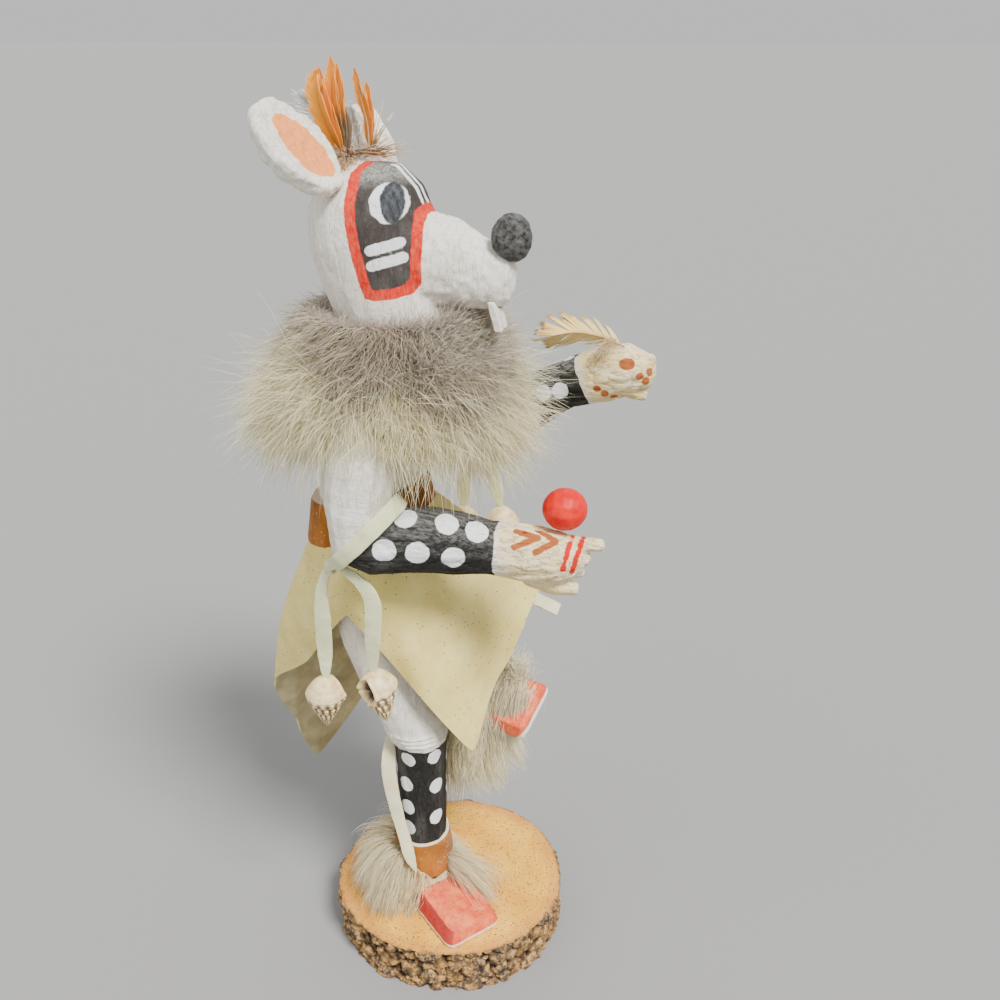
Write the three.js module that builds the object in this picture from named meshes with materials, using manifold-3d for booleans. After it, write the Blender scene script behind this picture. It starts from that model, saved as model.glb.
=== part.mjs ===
// A carved and painted kachina doll: a dancer in a mouse mask stands on its right leg on a slice of
// branch, its left knee raised. It wears a rabbit fur ruff, a suede kilt, belt, ties and anklets with
// fur, and has small shells on its elbow thongs. It carries a red bead and a feather in its hands.
// Millimetres, +Z up. The figure faces -Y, its own left is +X, the origin is under the base.
import * as THREE from 'three';
import { mergeVertices } from 'three/addons/utils/BufferGeometryUtils.js';
import Module from 'manifold-3d';

const wasm = await Module();
wasm.setup();

const v3 = (x, y, z) => new THREE.Vector3(x, y, z);
const { clamp, lerp } = THREE.MathUtils;
const turn = 2 * Math.PI;

// ---- driving dimensions ----
const gap = 0.3; // clearance kept between pieces that touch
const base = { radius: 37.4, narrower: 0.037, height: 16, barkDepth: 1.6, chunks: 17, rim: 0.4 };
const soleHeight = 20; // height of the soles where the figure's own stations are measured
const standsAt = { x: -3.4, y: -0.9 }; // the figure's own centre on the slice

// stations of trunk and limbs: x, y, z, half width across, half depth
const trunk = [[0, 22, 138, 15, 14], [0, 21.2, 150, 16.4, 16.2], [0, 19.4, 168, 16, 14.6],
  [0, 16.5, 186, 17.5, 13.6], [0, 12, 199, 14, 12], [0, 10, 205, 12, 10.5]];
const rightLeg = [[-7.5, 23, 142, 9.5, 10.5], [-8, 17, 112, 9.4, 9.6], [-7, 9.5, 93, 8.9, 8.9],
  [-6, 6.8, 84, 8.4, 8.6], [-4.6, 7.2, 73, 8.1, 8.1], [-4, 7.5, 50, 7.9, 7.9], [-4, 8, 29, 7.4, 7.4]];
const leftLeg = [[7.5, 23, 141, 9.5, 10.5], [13, 8, 133, 9.4, 9.4], [18, -7, 127.5, 8.6, 8.6],
  [20.5, -13.8, 121.5, 8.2, 8.2], [20.6, -11.6, 111, 7.8, 7.8], [20.4, -5, 99, 7.3, 7.3],
  [20, 0, 90, 6.8, 6.8]];
const rightArm = [[-20, 12, 199, 6, 6.5], [-27, 11, 191, 8.6, 8.6], [-30, 11, 176.6, 8.6, 8.8],
  [-30, 13, 164.8, 8.6, 8.8], [-28.6, 7.6, 162.4, 8.6, 8.9], [-26.4, -1.4, 163.5, 8.6, 8.8],
  [-23.4, -10.4, 161.9, 8.2, 8.6], [-20, -21, 160.2, 6.8, 7]];
const leftArm = [[20, 11, 199, 6, 6.5], [26, 11, 192, 8.6, 8.6], [35, 9, 180, 8.4, 8.6],
  [41, 5.5, 171.5, 8.6, 8.6], [42, -2, 171, 8.6, 8.8], [41.5, -12, 176, 8.4, 8.8],
  [40.5, -22, 183, 7.8, 8], [40, -29, 186.5, 6.8, 7]];
const rightPalm = [[-20, -20.5, 160.2, 7, 7.4], [-18.6, -30, 159, 7.4, 8], [-17.8, -37, 158.4, 6.6, 7.4],
  [-17.4, -41.5, 158.6, 5, 5.8]];
const leftPalm = [[40, -28.5, 186.5, 7, 7.6], [39.4, -38, 190, 7.6, 8.4], [38.8, -46, 192.4, 7.2, 8],
  [38.4, -50.5, 192, 5.4, 5.8]];
const rightFingers = [
  [[-17, -40, 162.4, 2.3, 2.5], [-17, -48.6, 163, 1.9, 2]], // index, pointing
  [[-17.5, -41, 159.6, 2.1, 2.3], [-17.3, -45, 158.6, 1.8, 2]], // curled
  [[-17.6, -40.6, 155.8, 2.1, 2.3], [-17.5, -43.6, 154.6, 1.8, 2]],
  [[-18, -30, 151.8, 2.6, 2.8], [-18, -37, 149.8, 2.4, 2.6], [-17.8, -42.4, 149.8, 2, 2]], // thumb
];
const leftFingers = [0, 1, 2, 3].map((i) => [[37, -46, 197 - 3.6 * i, 2.2, 2.2],
  [37.6, -52.6 + 0.6 * i, 196 - 3.6 * i, 1.9, 2]]);

const mask = [[0, 8, 206, 15.5, 15.5], [0, 11, 220, 16.6, 16.4], [0, 15.8, 235, 17.2, 16.8],
  [0, 17.4, 244.5, 15.4, 14.6]];
const snout = [[-1, 8, 228, 13, 15], [-2, -3, 229, 10.6, 12.4], [-3.6, -13, 227, 7.4, 8.8],
  [-4.6, -20, 226.4, 5, 6.8]];
const nose = { at: v3(-5, -21.6, 236.6), half: v3(4.8, 5, 6.1) };
const teeth = { width: 3.2, depth: 1.8, length: 7.4, at: v3(-6, -17.4, 218), apart: 1.85, lean: 0.25 };
const ear = { length: 27, width: 19, thickness: 6.4, hollow: 0.7 };
const earPlaces = {
  right_ear: { centre: v3(-15.5, 28.6, 256), along: v3(-0.12, 0.66, 0.74), facing: v3(-0.72, -0.55, 0.42) },
  left_ear: { centre: v3(16, 24, 257.5), along: v3(0.3, 0.5, 0.82), facing: v3(0.45, -0.85, 0.25) },
};
const bead = { radius: 5.9, at: v3(-15.5, -38.6, 171.3), flatten: 0.95 };

const belt = { height: 13, thickness: 1.4, radiusX: 17.2, radiusY: 17.6, slant: -0.37, at: v3(0, 21, 161.6) };
const kilt = { thickness: 1, radiusX: 18.2, radiusY: 18.6, bulge: 2.6, rows: 4, perPoint: 4 };
// the hem: a square's four corners hang low, and the middle of each side rides up over a hip or thigh
const hem = [v3(-20.5, 21.5, 133.5), v3(-9, 42, 106.5), v3(4, 60.4, 87.4), v3(14, 60, 64), v3(22, 57, 44.4),
  v3(34, 42.4, 66), v3(38, 18, 98), v3(44, -14, 104), v3(19, -25, 127.5), v3(5, -16.5, 106),
  v3(-11, -11.6, 85.6), v3(-19, 4.5, 112)];
// fur: the section of each ring as reach and height, and its locks
const ruff = {
  at: v3(0, 12.8, 0), squash: 0.96, locks: 25, lockDepth: 1.6, hemDrop: 3, lift: 10,
  section: [[4, 192], [27, 178], [33, 175.4], [37.6, 180], [38.8, 188], [36.4, 198], [30, 209.4],
    [22, 216.4], [4, 218]],
};
const rightAnkleFur = {
  locks: 11, lockDepth: 1.5, hemDrop: 2.5, parting: 0.52,
  section: [[5, 3], [20, 0.8], [22.5, 4], [19, 11], [13, 17], [5, 18]],
};
const leftAnkleFur = {
  locks: 11, lockDepth: 1.4, hemDrop: 4, lean: v3(-6, 4, 0),
  section: [[5, -4], [9, -20], [13, -21], [17, -8], [18.6, 3], [16, 11], [11, 16.6], [5, 18]],
};
const foot = { length: 40, width: 19.5, sole: 1.4, toeHeight: 5.4, heelHeight: 8.6, slope: 1.8, corner: 3 };
const rightFoot = { at: v3(-3.1, 6.9, soleHeight + gap), heading: 40, roll: 0, pitch: 0 };
const leftFoot = { at: v3(21, 2, 84.5), heading: 14, roll: 32, pitch: -6 };
const bandThickness = 1.3;
const rightAnklet = { at: v3(-4, 7.8, 38), normal: v3(0, 0, 1), radius: 8.6, height: 13.4, slant: 0.3 };
const leftAnklet = { at: v3(20.5, -6, 101.6), normal: v3(0, -0.5, 0.87), radius: 8.3, height: 8, slant: 0 };

const thong = { width: 4.2, thickness: 1, knot: 2.5 };
const rightThong = {
  loop: { at: v3(-29.2, 10.5, 164.6), normal: v3(0, 0.72, 0.69), first: v3(0.1, -0.69, 0.72), radiusA: 11.4,
    radiusB: 9.3 },
  knot: v3(-30, 20, 154.6),
  tails: [
    [v3(-30.5, 21.2, 153.6), v3(-30.8, 23.6, 147), v3(-30.4, 24.2, 137), v3(-30, 24.6, 127),
      v3(-30, 25, 118.6)],
    [v3(-31, 18.6, 153.6), v3(-32.5, 11.8, 152), v3(-32.8, 8.4, 146.4), v3(-31.4, 9.6, 134),
      v3(-30, 10.6, 123.4)],
  ],
};
const leftThong = {
  loop: { at: v3(41.4, 1.5, 170.9), normal: v3(0.42, -0.84, -0.35), first: v3(0.1, -0.4, 0.92), radiusA: 11.4,
    radiusB: 9.8 },
  knot: v3(41.5, 4.6, 158.6),
  tails: [
    [v3(41.8, 5.5, 157.5), v3(42, 6, 150), v3(42, 6.3, 141.4)],
    [v3(41.8, 3, 157.5), v3(42, -3.4, 153), v3(42.2, -6, 142.4)],
  ],
};
const shell = { radius: 5.7, length: 16.4, whorls: 3, ribs: 6, ridge: 0.05 };
const shells = {
  right_outer_shell: { top: v3(-30, 25.2, 118.2), down: v3(0.05, 0.06, -1) },
  right_inner_shell: { top: v3(-29.9, 10.8, 122.8), down: v3(0.08, -0.16, -1) },
  left_outer_shell: { top: v3(42, 6.3, 140.8), down: v3(0, 0.05, -1) },
  left_inner_shell: { top: v3(42.2, -6.2, 141.8), down: v3(0, -0.08, -1) },
};
const kneeTie = { width: 4.6, thickness: 1.1 };
const rightKneeTie = { about: v3(-5, 7, 0), points: [v3(-1, 16.4, 86), v3(-5, 17.2, 79.5),
  v3(-9.5, 18.2, 73), v3(-12.6, 16.8, 66), v3(-14.3, 14.6, 56), v3(-14.8, 11.4, 48.5),
  v3(-16.2, 7.2, 38.5)] };
const leftKneeTie = { about: v3(20.5, -11, 0), points: [v3(17, -20.4, 112), v3(16.6, -22.6, 117),
  v3(18.4, -26.6, 120.8), v3(21, -31.4, 119.6)] };

const feather = { thickness: 0.9, steps: 14, notch: 0.16 };
const crestRoot = [[-4, 22.6, 254.4, 1.4, 1.4], [0, 19, 255.6, 2.2, 2], [3, 13, 256, 1.6, 1.5],
  [4, 9, 255.4, 0.9, 0.9]];
const feathers = {
  crest_feather_tall: { along: [v3(-2.4, 22, 257.6), v3(-2.6, 25, 266), v3(-2.6, 27.6, 276)],
    across: v3(0.3, -1, 0.3), width: 10.5, blunt: 0.5 },
  crest_feather_short: { along: [v3(4, 14.6, 259), v3(4, 17.4, 266), v3(4, 20.4, 274)],
    across: v3(0.3, -1, 0.3), width: 7, blunt: 0.6 },
  hand_feather: { along: [v3(36.5, -41.6, 201.4), v3(37, -32, 204), v3(37.5, -18, 202.4)],
    across: v3(-0.5, 0, 0.85), width: 11, blunt: 0.7 },
};

const colours = {
  wood: [0xd9a55c, 0.75], white: [0xeae6dc, 0.7], paintRed: [0xd9584f, 0.6], black: [0x202022, 0.55],
  fur: [0xbdb29c, 0.95], suede: [0xd8d2ae, 0.95], brown: [0x8f5a2a, 0.95], cream: [0xd6d2c0, 0.9],
  orange: [0xc77a2c, 0.8], straw: [0xd8be8c, 0.8], bead: [0xd8262a, 0.45], shellCream: [0xd8c8a8, 0.4],
};

// ---- making solids ----
function solidOf(geometry) {
  const bare = new THREE.BufferGeometry();
  bare.setAttribute('position', geometry.getAttribute('position'));
  bare.setIndex(geometry.index);
  const merged = mergeVertices(bare, 1e-4);
  const corners = Array.from(merged.index.array);
  const kept = [];
  for (let i = 0; i < corners.length; i += 3) {
    const [a, b, c] = corners.slice(i, i + 3);
    if (a !== b && b !== c && c !== a) kept.push(a, b, c);
  }
  return new wasm.Manifold(new wasm.Mesh({
    numProp: 3,
    vertProperties: Float32Array.from(merged.getAttribute('position').array),
    triVerts: Uint32Array.from(kept),
  }));
}

// the largest body of a solid, without the crumbs and pockets that a cut leaves
const whole = (solid) => solid.decompose().sort((a, b) => b.volume() - a.volume())[0];
const join = (solids) => solids.reduce((whole, solid) => whole.add(solid));
const cut = (solid, tools) => whole(tools.reduce((rest, tool) => rest.subtract(tool), solid));

// moves every corner of a geometry with place(point), which changes the point it is given
function reshape(geometry, place) {
  const corners = geometry.getAttribute('position');
  const point = v3();
  for (let i = 0; i < corners.count; i += 1) {
    place(point.fromBufferAttribute(corners, i));
    corners.setXYZ(i, point.x, point.y, point.z);
  }
  return geometry;
}

// a rounded limb through its stations; grow thickens it all over, for cutting a neighbour clear of it
function limb(stations, { around = 12, steps = stations.length + 1, across = v3(1, 0, 0), grow = 0,
  bulge = 0.6 } = {}) {
  const spine = new THREE.CatmullRomCurve3(stations.map(([x, y, z]) => v3(x, y, z)));
  const girth = new THREE.CatmullRomCurve3(stations.map(([, , , wide, deep]) => v3(wide, deep, 0)));
  return solidOf(reshape(new THREE.CapsuleGeometry(1, 1, 2, around, steps), (point) => {
    const t = clamp(point.y + 0.5, 0, 1);
    const beyond = point.y + 0.5 - t;
    const size = girth.getPoint(t);
    const along = spine.getTangent(t);
    const side = across.clone().addScaledVector(along, -across.dot(along)).normalize();
    const front = side.clone().cross(along);
    const { x, z } = point;
    point.copy(spine.getPoint(t))
      .addScaledVector(along, beyond * (bulge * size.y + grow))
      .addScaledVector(side, x * (size.x + grow))
      .addScaledVector(front, z * (size.y + grow));
  }));
}

function ball(at, half, around = 12, rows = 8) {
  return solidOf(reshape(new THREE.SphereGeometry(1, around, rows), (point) => point.multiply(half).add(at)));
}

// a flat closed loop of strap round an ellipse, standing along its normal; slant makes it climb along first
function loop({ at, normal, first, radiusA, radiusB, width, thickness, slant = 0, around = 20 }) {
  const up = normal.clone().normalize();
  const a = first.clone().addScaledVector(up, -first.dot(up)).normalize();
  const b = a.clone().cross(up);
  const reach = 10;
  const outline = [[0, -0.5], [1, -0.5], [1, 0.5], [0, 0.5], [0, -0.5]]
    .map(([out, high]) => new THREE.Vector2(reach + out * thickness, high * width));
  return solidOf(reshape(new THREE.LatheGeometry(outline, around), (point) => {
    const radius = Math.hypot(point.x, point.z);
    const toA = (point.x / radius) * (radiusA + radius - reach);
    const toB = (point.z / radius) * (radiusB + radius - reach);
    const high = point.y + slant * toA;
    point.copy(at).addScaledVector(a, toA).addScaledVector(b, toB).addScaledVector(up, high);
  }));
}

// a strap of flat section along a curve; its width lies along across, or round an upright axis at about
function strap(points, { width = thong.width, thickness = thong.thickness, across = v3(1, 0, 0), about,
  steps = 2 * (points.length - 1), widthAt = () => 1 } = {}) {
  const spine = new THREE.CatmullRomCurve3(points);
  return solidOf(reshape(new THREE.BoxGeometry(1, 1, 1, 1, steps, 1), (point) => {
    const t = point.y + 0.5;
    const here = spine.getPoint(t);
    const along = spine.getTangent(t);
    const wide = about ? along.clone().cross(v3(here.x - about.x, here.y - about.y, 0)) : across;
    const side = wide.clone().addScaledVector(along, -wide.dot(along)).normalize();
    const out = side.clone().cross(along);
    const { x, z } = point;
    point.copy(here).addScaledVector(side, x * width * widthAt(t)).addScaledVector(out, z * thickness);
  }));
}

// ---- the carved figure ----
function branchSlice() {
  const rim = (angle) => 1 - base.narrower * Math.cos(2 * angle - 0.5) + 0.01 * Math.sin(3 * angle + 2)
    + 0.006 * Math.sin(7 * angle);
  const bark = (angle, t) => Math.max(0, Math.sin(base.chunks * angle + 2.6 * Math.sin(3 * t + 5 * angle)))
    * Math.sin(Math.PI * clamp(t, 0.06, 0.94));
  return solidOf(reshape(new THREE.CylinderGeometry(1, 1, 1, 56, 3), (point) => {
    const angle = Math.atan2(-point.z, point.x);
    const t = point.y + 0.5;
    const reach = Math.hypot(point.x, point.z);
    const radius = reach * (base.radius * rim(angle) - base.barkDepth + base.barkDepth * bark(angle, t)
      - (t < 1 ? 0 : base.rim));
    point.set(radius * Math.cos(angle), radius * Math.sin(angle), t * base.height);
  }));
}

const body = (options = {}) => join([
  limb(trunk, { around: 16, ...options }),
  limb(rightLeg, options),
  limb(leftLeg, options),
]);

const arm = (stations, palm, fingers, options = {}) => join([
  limb(stations, { around: 12, ...options }),
  limb(palm, { around: 10, steps: 3, ...options }),
  ...fingers.map((finger) => limb(finger, { around: 6, steps: 2, ...options })),
]);

const maskedHead = (options = {}) => join([
  limb(mask, { around: 20, steps: 6, bulge: 0.58, ...options }),
  limb(snout, { around: 16, steps: 5, bulge: 0.35, ...options }),
]);

// a thick oval slab, its face slightly hollowed
function earSolid({ centre, along, facing }) {
  const up = along.clone().normalize();
  const out = facing.clone().addScaledVector(up, -facing.dot(up)).normalize();
  const side = out.clone().cross(up);
  const half = ear.thickness / 2;
  const outline = [[0, -half], [0.6, -half * 0.98], [0.92, -half * 0.5], [1, half * 0.4], [0.97, half],
    [0.8, half], [0.55, half - ear.hollow], [0, half - ear.hollow]]
    .map(([reach, high]) => new THREE.Vector2(reach, high));
  return solidOf(reshape(new THREE.LatheGeometry(outline, 20), (point) => {
    const { x, y, z } = point;
    const narrow = 1 - 0.16 * Math.max(0, -z);
    point.copy(centre).addScaledVector(side, x * narrow * ear.width / 2)
      .addScaledVector(out, y).addScaledVector(up, z * ear.length / 2);
  }));
}

function toothSolid(sideways, grow = 0) {
  const { width, depth, length, apart, lean, at } = teeth;
  const box = new THREE.BoxGeometry(width + 2 * grow, depth + 2 * grow, length + 2 * grow, 2, 1, 3);
  return solidOf(reshape(box, (point) => {
    point.x = point.x * (1 - 0.4 * Math.max(0, -point.z / length)) + sideways * apart;
    point.y -= lean * (length / 2 - point.z);
    point.add(at);
  }));
}

// a block foot: flat sole, top sloping to the toe, slanted sides; heading turns it from -Y toward -X
function footSolid({ at, heading, roll, pitch }, grow = 0) {
  const { length, width, sole, slope, corner, toeHeight, heelHeight } = foot;
  const half = width / 2;
  const heel = length * 0.28;
  const outline = new THREE.Shape();
  outline.moveTo(-half, 0);
  outline.quadraticCurveTo(-half, -heel, 0, -heel);
  outline.quadraticCurveTo(half, -heel, half, 0);
  outline.lineTo(half, length - heel - corner);
  outline.quadraticCurveTo(half, length - heel, half - corner, length - heel);
  outline.lineTo(corner - half, length - heel);
  outline.quadraticCurveTo(-half, length - heel, -half, length - heel - corner);
  const block = new THREE.ExtrudeGeometry(outline, { depth: 1, steps: 2, bevelEnabled: false,
    curveSegments: 4 });
  const pose = new THREE.Euler(...[pitch, roll, 180 - heading].map(THREE.MathUtils.degToRad), 'ZYX');
  return solidOf(reshape(block, (point) => {
    const level = Math.round(point.z * 2);
    const toward = clamp(point.y / (length - heel), 0, 1);
    const inset = level === 2 ? slope : 0;
    const height = [-grow, sole, lerp(heelHeight, toeHeight, toward) + grow][level];
    point.set(point.x * (1 + (grow - inset) / half), point.y * (1 + (2 * grow - inset) / length), height);
    point.applyEuler(pose).add(at);
  }));
}

// ---- fur, suede, straps, shells and feathers ----
// a ring of fur with hanging locks, its hem lifted at the sides; spread gives its reach at an angle from
// the front and settle puts each point in its place
function furRing({ section, locks, lockDepth, hemDrop, squash = 1, lift = 0 }, spread, settle) {
  const outline = [...section, section[0]].map(([reach, high]) => new THREE.Vector2(reach, high));
  const highest = Math.max(...section.map(([, high]) => high));
  const lowest = Math.min(...section.map(([, high]) => high));
  const widest = Math.max(...section.map(([reach]) => reach));
  return solidOf(reshape(new THREE.LatheGeometry(outline, 2 * locks), (point) => {
    const angle = Math.atan2(point.x, point.z);
    const reach = Math.hypot(point.x, point.z);
    const outer = clamp(2 * reach / widest - 1, 0, 1);
    const low = 1 - (point.y - lowest) / (highest - lowest);
    const lock = Math.cos(locks * angle) * (0.7 + 0.3 * Math.sin(5 * angle));
    const radius = (reach + outer * lockDepth * lock) * spread(angle);
    const high = point.y + low * (lift * Math.sin(angle) ** 2 - outer * hemDrop * (0.5 + 0.5 * lock));
    point.set(squash * radius * Math.sin(angle), -radius * Math.cos(angle), high);
    settle(point);
  }));
}

// one sheet of suede from the waist to the hem, all the way round
function kiltSolid() {
  const hemline = new THREE.CatmullRomCurve3(hem, true, 'catmullrom', 0.35);
  const waistHeight = belt.at.z - belt.height / 2 - gap;
  const surface = (t, down) => {
    const out = v3(-kilt.radiusX * Math.cos(turn * t), kilt.radiusY * Math.sin(turn * t), 0);
    const top = v3(out.x, belt.at.y + out.y, waistHeight + belt.slant * out.y);
    return top.lerp(hemline.getPoint(t), down)
      .addScaledVector(out.normalize(), kilt.bulge * Math.sin(Math.PI * down));
  };
  const rings = Array.from({ length: kilt.rows + 1 }, (_, row) => row / kilt.rows);
  const reach = 10;
  const outer = rings.map((up) => new THREE.Vector2(reach + 1, up));
  const inner = rings.map((up) => new THREE.Vector2(reach, 1 - up));
  const outline = [...outer, ...inner, outer[0]];
  const step = 1e-3;
  return solidOf(reshape(new THREE.LatheGeometry(outline, kilt.perPoint * hem.length), (point) => {
    const t = (Math.atan2(point.x, point.z) / turn + 1) % 1;
    const inward = reach + 1 - Math.hypot(point.x, point.z);
    const down = 1 - point.y;
    const round = surface((t + step) % 1, down).sub(surface((t + 1 - step) % 1, down));
    const fall = surface(t, Math.min(1, down + step)).sub(surface(t, Math.max(0, down - step)));
    const normal = fall.cross(round).normalize();
    point.copy(surface(t, down)).addScaledVector(normal, -inward * kilt.thickness);
  }));
}

// a loop of thong round an elbow with its knot and two hanging tails
const elbowThong = ({ loop: round, knot, tails }) => join([
  loop({ ...round, ...thong }),
  ball(knot, v3(1, 1, 1).multiplyScalar(thong.knot), 7, 5),
  ...tails.map((points) => strap(points, { across: v3(0, 1, 0) })),
]);

// a ribbed whelk shell hanging spire down
function shellSolid({ top, down }) {
  const { radius, length, whorls, ribs, ridge } = shell;
  const axis = down.clone().normalize();
  const side = v3(0, 1, 0).cross(axis).normalize();
  const front = axis.clone().cross(side);
  const rows = 3 * whorls;
  const outline = Array.from({ length: rows + 1 }, (_, row) => {
    const t = row / rows;
    const swell = Math.min(1, Math.sqrt(t / 0.26)) * Math.min(1, (1 - t) / 0.66);
    const stepped = 1 - (t > 0.3 ? 0.16 * (row % 2) : 0);
    return new THREE.Vector2(row % rows === 0 ? 0 : radius * swell * stepped, -t * length);
  }).reverse();
  return solidOf(reshape(new THREE.LatheGeometry(outline, 2 * ribs), (point) => {
    const angle = Math.atan2(point.x, point.z);
    const swell = 1 + ridge * Math.cos(ribs * angle);
    const { x, y, z } = point;
    point.copy(top).addScaledVector(axis, -y)
      .addScaledVector(side, x * swell).addScaledVector(front, z * swell);
  }));
}

function featherSolid({ along, across, width, blunt }) {
  return strap(along, {
    width, thickness: feather.thickness, across, steps: feather.steps,
    widthAt: (t) => {
      const notch = Math.round(t * feather.steps) % 2 === 0 ? 1 : 1 - feather.notch;
      return 0.12 + 0.88 * Math.sin(Math.PI * clamp(t, 0.02, 1) ** 0.8) ** blunt * notch * (t < 1 ? 1 : 0.3);
    },
  });
}

const anklet = ({ at, normal, radius, height, slant }, grow = 0) => loop({
  at, normal, slant, first: v3(1, 0, 0), radiusA: radius - grow, radiusB: radius - grow,
  width: height + 2 * grow, thickness: bandThickness + 2 * grow, around: 16,
});

const tieSolid = ({ points, about }, grow = 0) => strap(points, {
  about, width: kneeTie.width + 2 * grow, thickness: kneeTie.thickness + 2 * grow,
});

// ---- the figure ----
const doll = new THREE.Group();
const figure = new THREE.Group();
figure.position.set(standsAt.x, standsAt.y, base.height - soleHeight);
doll.add(figure);
function add(name, solid, finish) {
  const mesh = solid.getMesh();
  const geometry = new THREE.BufferGeometry();
  geometry.setAttribute('position', new THREE.BufferAttribute(mesh.vertProperties, 3));
  geometry.setIndex(new THREE.BufferAttribute(mesh.triVerts, 1));
  const [color, roughness] = colours[finish];
  const piece = new THREE.Mesh(geometry, new THREE.MeshStandardMaterial({ color, roughness, metalness: 0 }));
  piece.name = name;
  (name === 'tree_slice_base' ? doll : figure).add(piece);
}

// what a neighbour is cut with: fine where two hard pieces meet, plain inside the fur
const clear = { grow: gap };
const plain = { grow: 3 * gap, around: 8 };
const clearBody = body(clear);
const clearHead = maskedHead(clear);
const plainBody = body({ ...plain, around: 12 });
const plainHead = maskedHead({ ...plain, around: 16 });
const toothPlaces = { right_tooth: -1, left_tooth: 1 };

add('tree_slice_base', branchSlice(), 'wood');
add('carved_body', cut(body(), [clearHead]), 'white');
add('right_arm', cut(arm(rightArm, rightPalm, rightFingers), [clearBody]), 'white');
add('left_arm', cut(arm(leftArm, leftPalm, leftFingers), [clearBody]), 'white');
add('right_moccasin', cut(footSolid(rightFoot), [clearBody]), 'paintRed');
add('left_moccasin', cut(footSolid(leftFoot), [clearBody]), 'paintRed');

add('masked_head', maskedHead(), 'white');
for (const [name, place] of Object.entries(earPlaces)) add(name, cut(earSolid(place), [clearHead]), 'white');
for (const [name, sideways] of Object.entries(toothPlaces)) {
  add(name, cut(toothSolid(sideways), [clearHead]), 'white');
}
add('nose_tip', cut(ball(nose.at, nose.half), [clearHead]), 'black');
add('crest_down', cut(limb(crestRoot, { around: 9, steps: 6 }), [clearHead]), 'brown');
for (const [name, plan] of Object.entries(feathers)) {
  add(name, featherSolid(plan), name === 'hand_feather' ? 'straw' : 'orange');
}
const clearRightArm = arm(rightArm, rightPalm, rightFingers, clear);
const beadHalf = v3(1, 1, bead.flatten).multiplyScalar(bead.radius);
add('red_bead', cut(ball(bead.at, beadHalf), [clearRightArm]), 'bead');

add('fur_ruff', cut(furRing(ruff, () => 1, (point) => point.add(ruff.at)), [
  plainBody, plainHead, limb(rightArm, plain), limb(leftArm, plain),
  ...Object.values(toothPlaces).map((sideways) => toothSolid(sideways, gap)),
]), 'fur');

add('waist_belt', loop({ ...belt, normal: v3(0, 0, 1), first: v3(0, 1, 0), radiusA: belt.radiusY,
  radiusB: belt.radiusX, width: belt.height, around: 28 }), 'brown');
add('suede_kilt', kiltSolid(), 'suede');
add('right_elbow_thong', cut(elbowThong(rightThong), [limb(rightArm, clear)]), 'cream');
add('left_elbow_thong', cut(elbowThong(leftThong), [limb(leftArm, clear)]), 'cream');
for (const [name, place] of Object.entries(shells)) add(name, shellSolid(place), 'shellCream');
for (const [name, tie] of Object.entries({ right_knee_tie: rightKneeTie, left_knee_tie: leftKneeTie })) {
  add(name, cut(tieSolid(tie), [clearBody]), 'suede');
}

add('right_ankle_band', anklet(rightAnklet), 'brown');
add('left_ankle_band', anklet(leftAnklet), 'brown');
// the fur parts over the instep, on the foot's heading
const toToes = THREE.MathUtils.degToRad(rightFoot.heading);
const sparedInstep = (angle) => 1 - rightAnkleFur.parting * Math.max(0, Math.cos(angle + toToes)) ** 2;
add('right_ankle_fur', cut(furRing(rightAnkleFur, sparedInstep, (point) => {
  point.add(v3(-4, 8, soleHeight + 2));
  point.z = Math.max(point.z, soleHeight + gap);
}), [
  limb(rightLeg, plain), footSolid(rightFoot, gap), anklet(rightAnklet, gap),
  tieSolid(rightKneeTie, gap),
]), 'fur');
add('left_ankle_fur', cut(furRing(leftAnkleFur, () => 1, (point) => {
  const low = clamp(-point.z / 20, 0, 1);
  point.addScaledVector(leftAnkleFur.lean, low).add(v3(20.5, -3, 80.5));
}), [
  limb(leftLeg, plain), limb(rightLeg, plain), footSolid(leftFoot, gap), anklet(leftAnklet, gap),
]), 'fur');

export default doll;
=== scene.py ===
import math

import bpy
import numpy as np
from mathutils import Matrix, Vector


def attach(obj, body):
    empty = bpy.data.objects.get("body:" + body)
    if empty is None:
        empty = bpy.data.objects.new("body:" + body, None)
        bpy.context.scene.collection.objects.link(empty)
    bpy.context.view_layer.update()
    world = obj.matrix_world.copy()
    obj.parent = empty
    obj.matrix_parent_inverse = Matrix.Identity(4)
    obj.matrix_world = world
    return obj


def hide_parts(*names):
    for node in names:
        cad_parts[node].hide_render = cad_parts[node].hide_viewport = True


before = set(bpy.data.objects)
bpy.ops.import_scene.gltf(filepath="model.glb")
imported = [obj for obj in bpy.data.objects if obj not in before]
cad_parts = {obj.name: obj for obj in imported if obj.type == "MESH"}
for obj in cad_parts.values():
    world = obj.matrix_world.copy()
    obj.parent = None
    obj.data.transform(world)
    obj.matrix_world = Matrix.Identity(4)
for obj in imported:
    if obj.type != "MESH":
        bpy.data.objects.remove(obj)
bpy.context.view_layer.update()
mm = 0.001


# working with meshes
def pickOnly(piece):
    bpy.ops.object.select_all(action="DESELECT")
    piece.select_set(True)
    bpy.context.view_layer.objects.active = piece


def points(piece):
    # corners in mm
    flat = np.empty(3 * len(piece.data.vertices), np.float32)
    piece.data.vertices.foreach_get("co", flat)
    return flat.reshape(-1, 3).astype(float) / mm


def place(piece, corners):
    piece.data.vertices.foreach_set("co", (corners * mm).astype(np.float32).ravel())
    piece.data.update()


def normals(piece):
    flat = np.empty(3 * len(piece.data.vertices), np.float32)
    piece.data.vertex_normals.foreach_get("vector", flat)
    return flat.reshape(-1, 3).astype(float)


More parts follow.
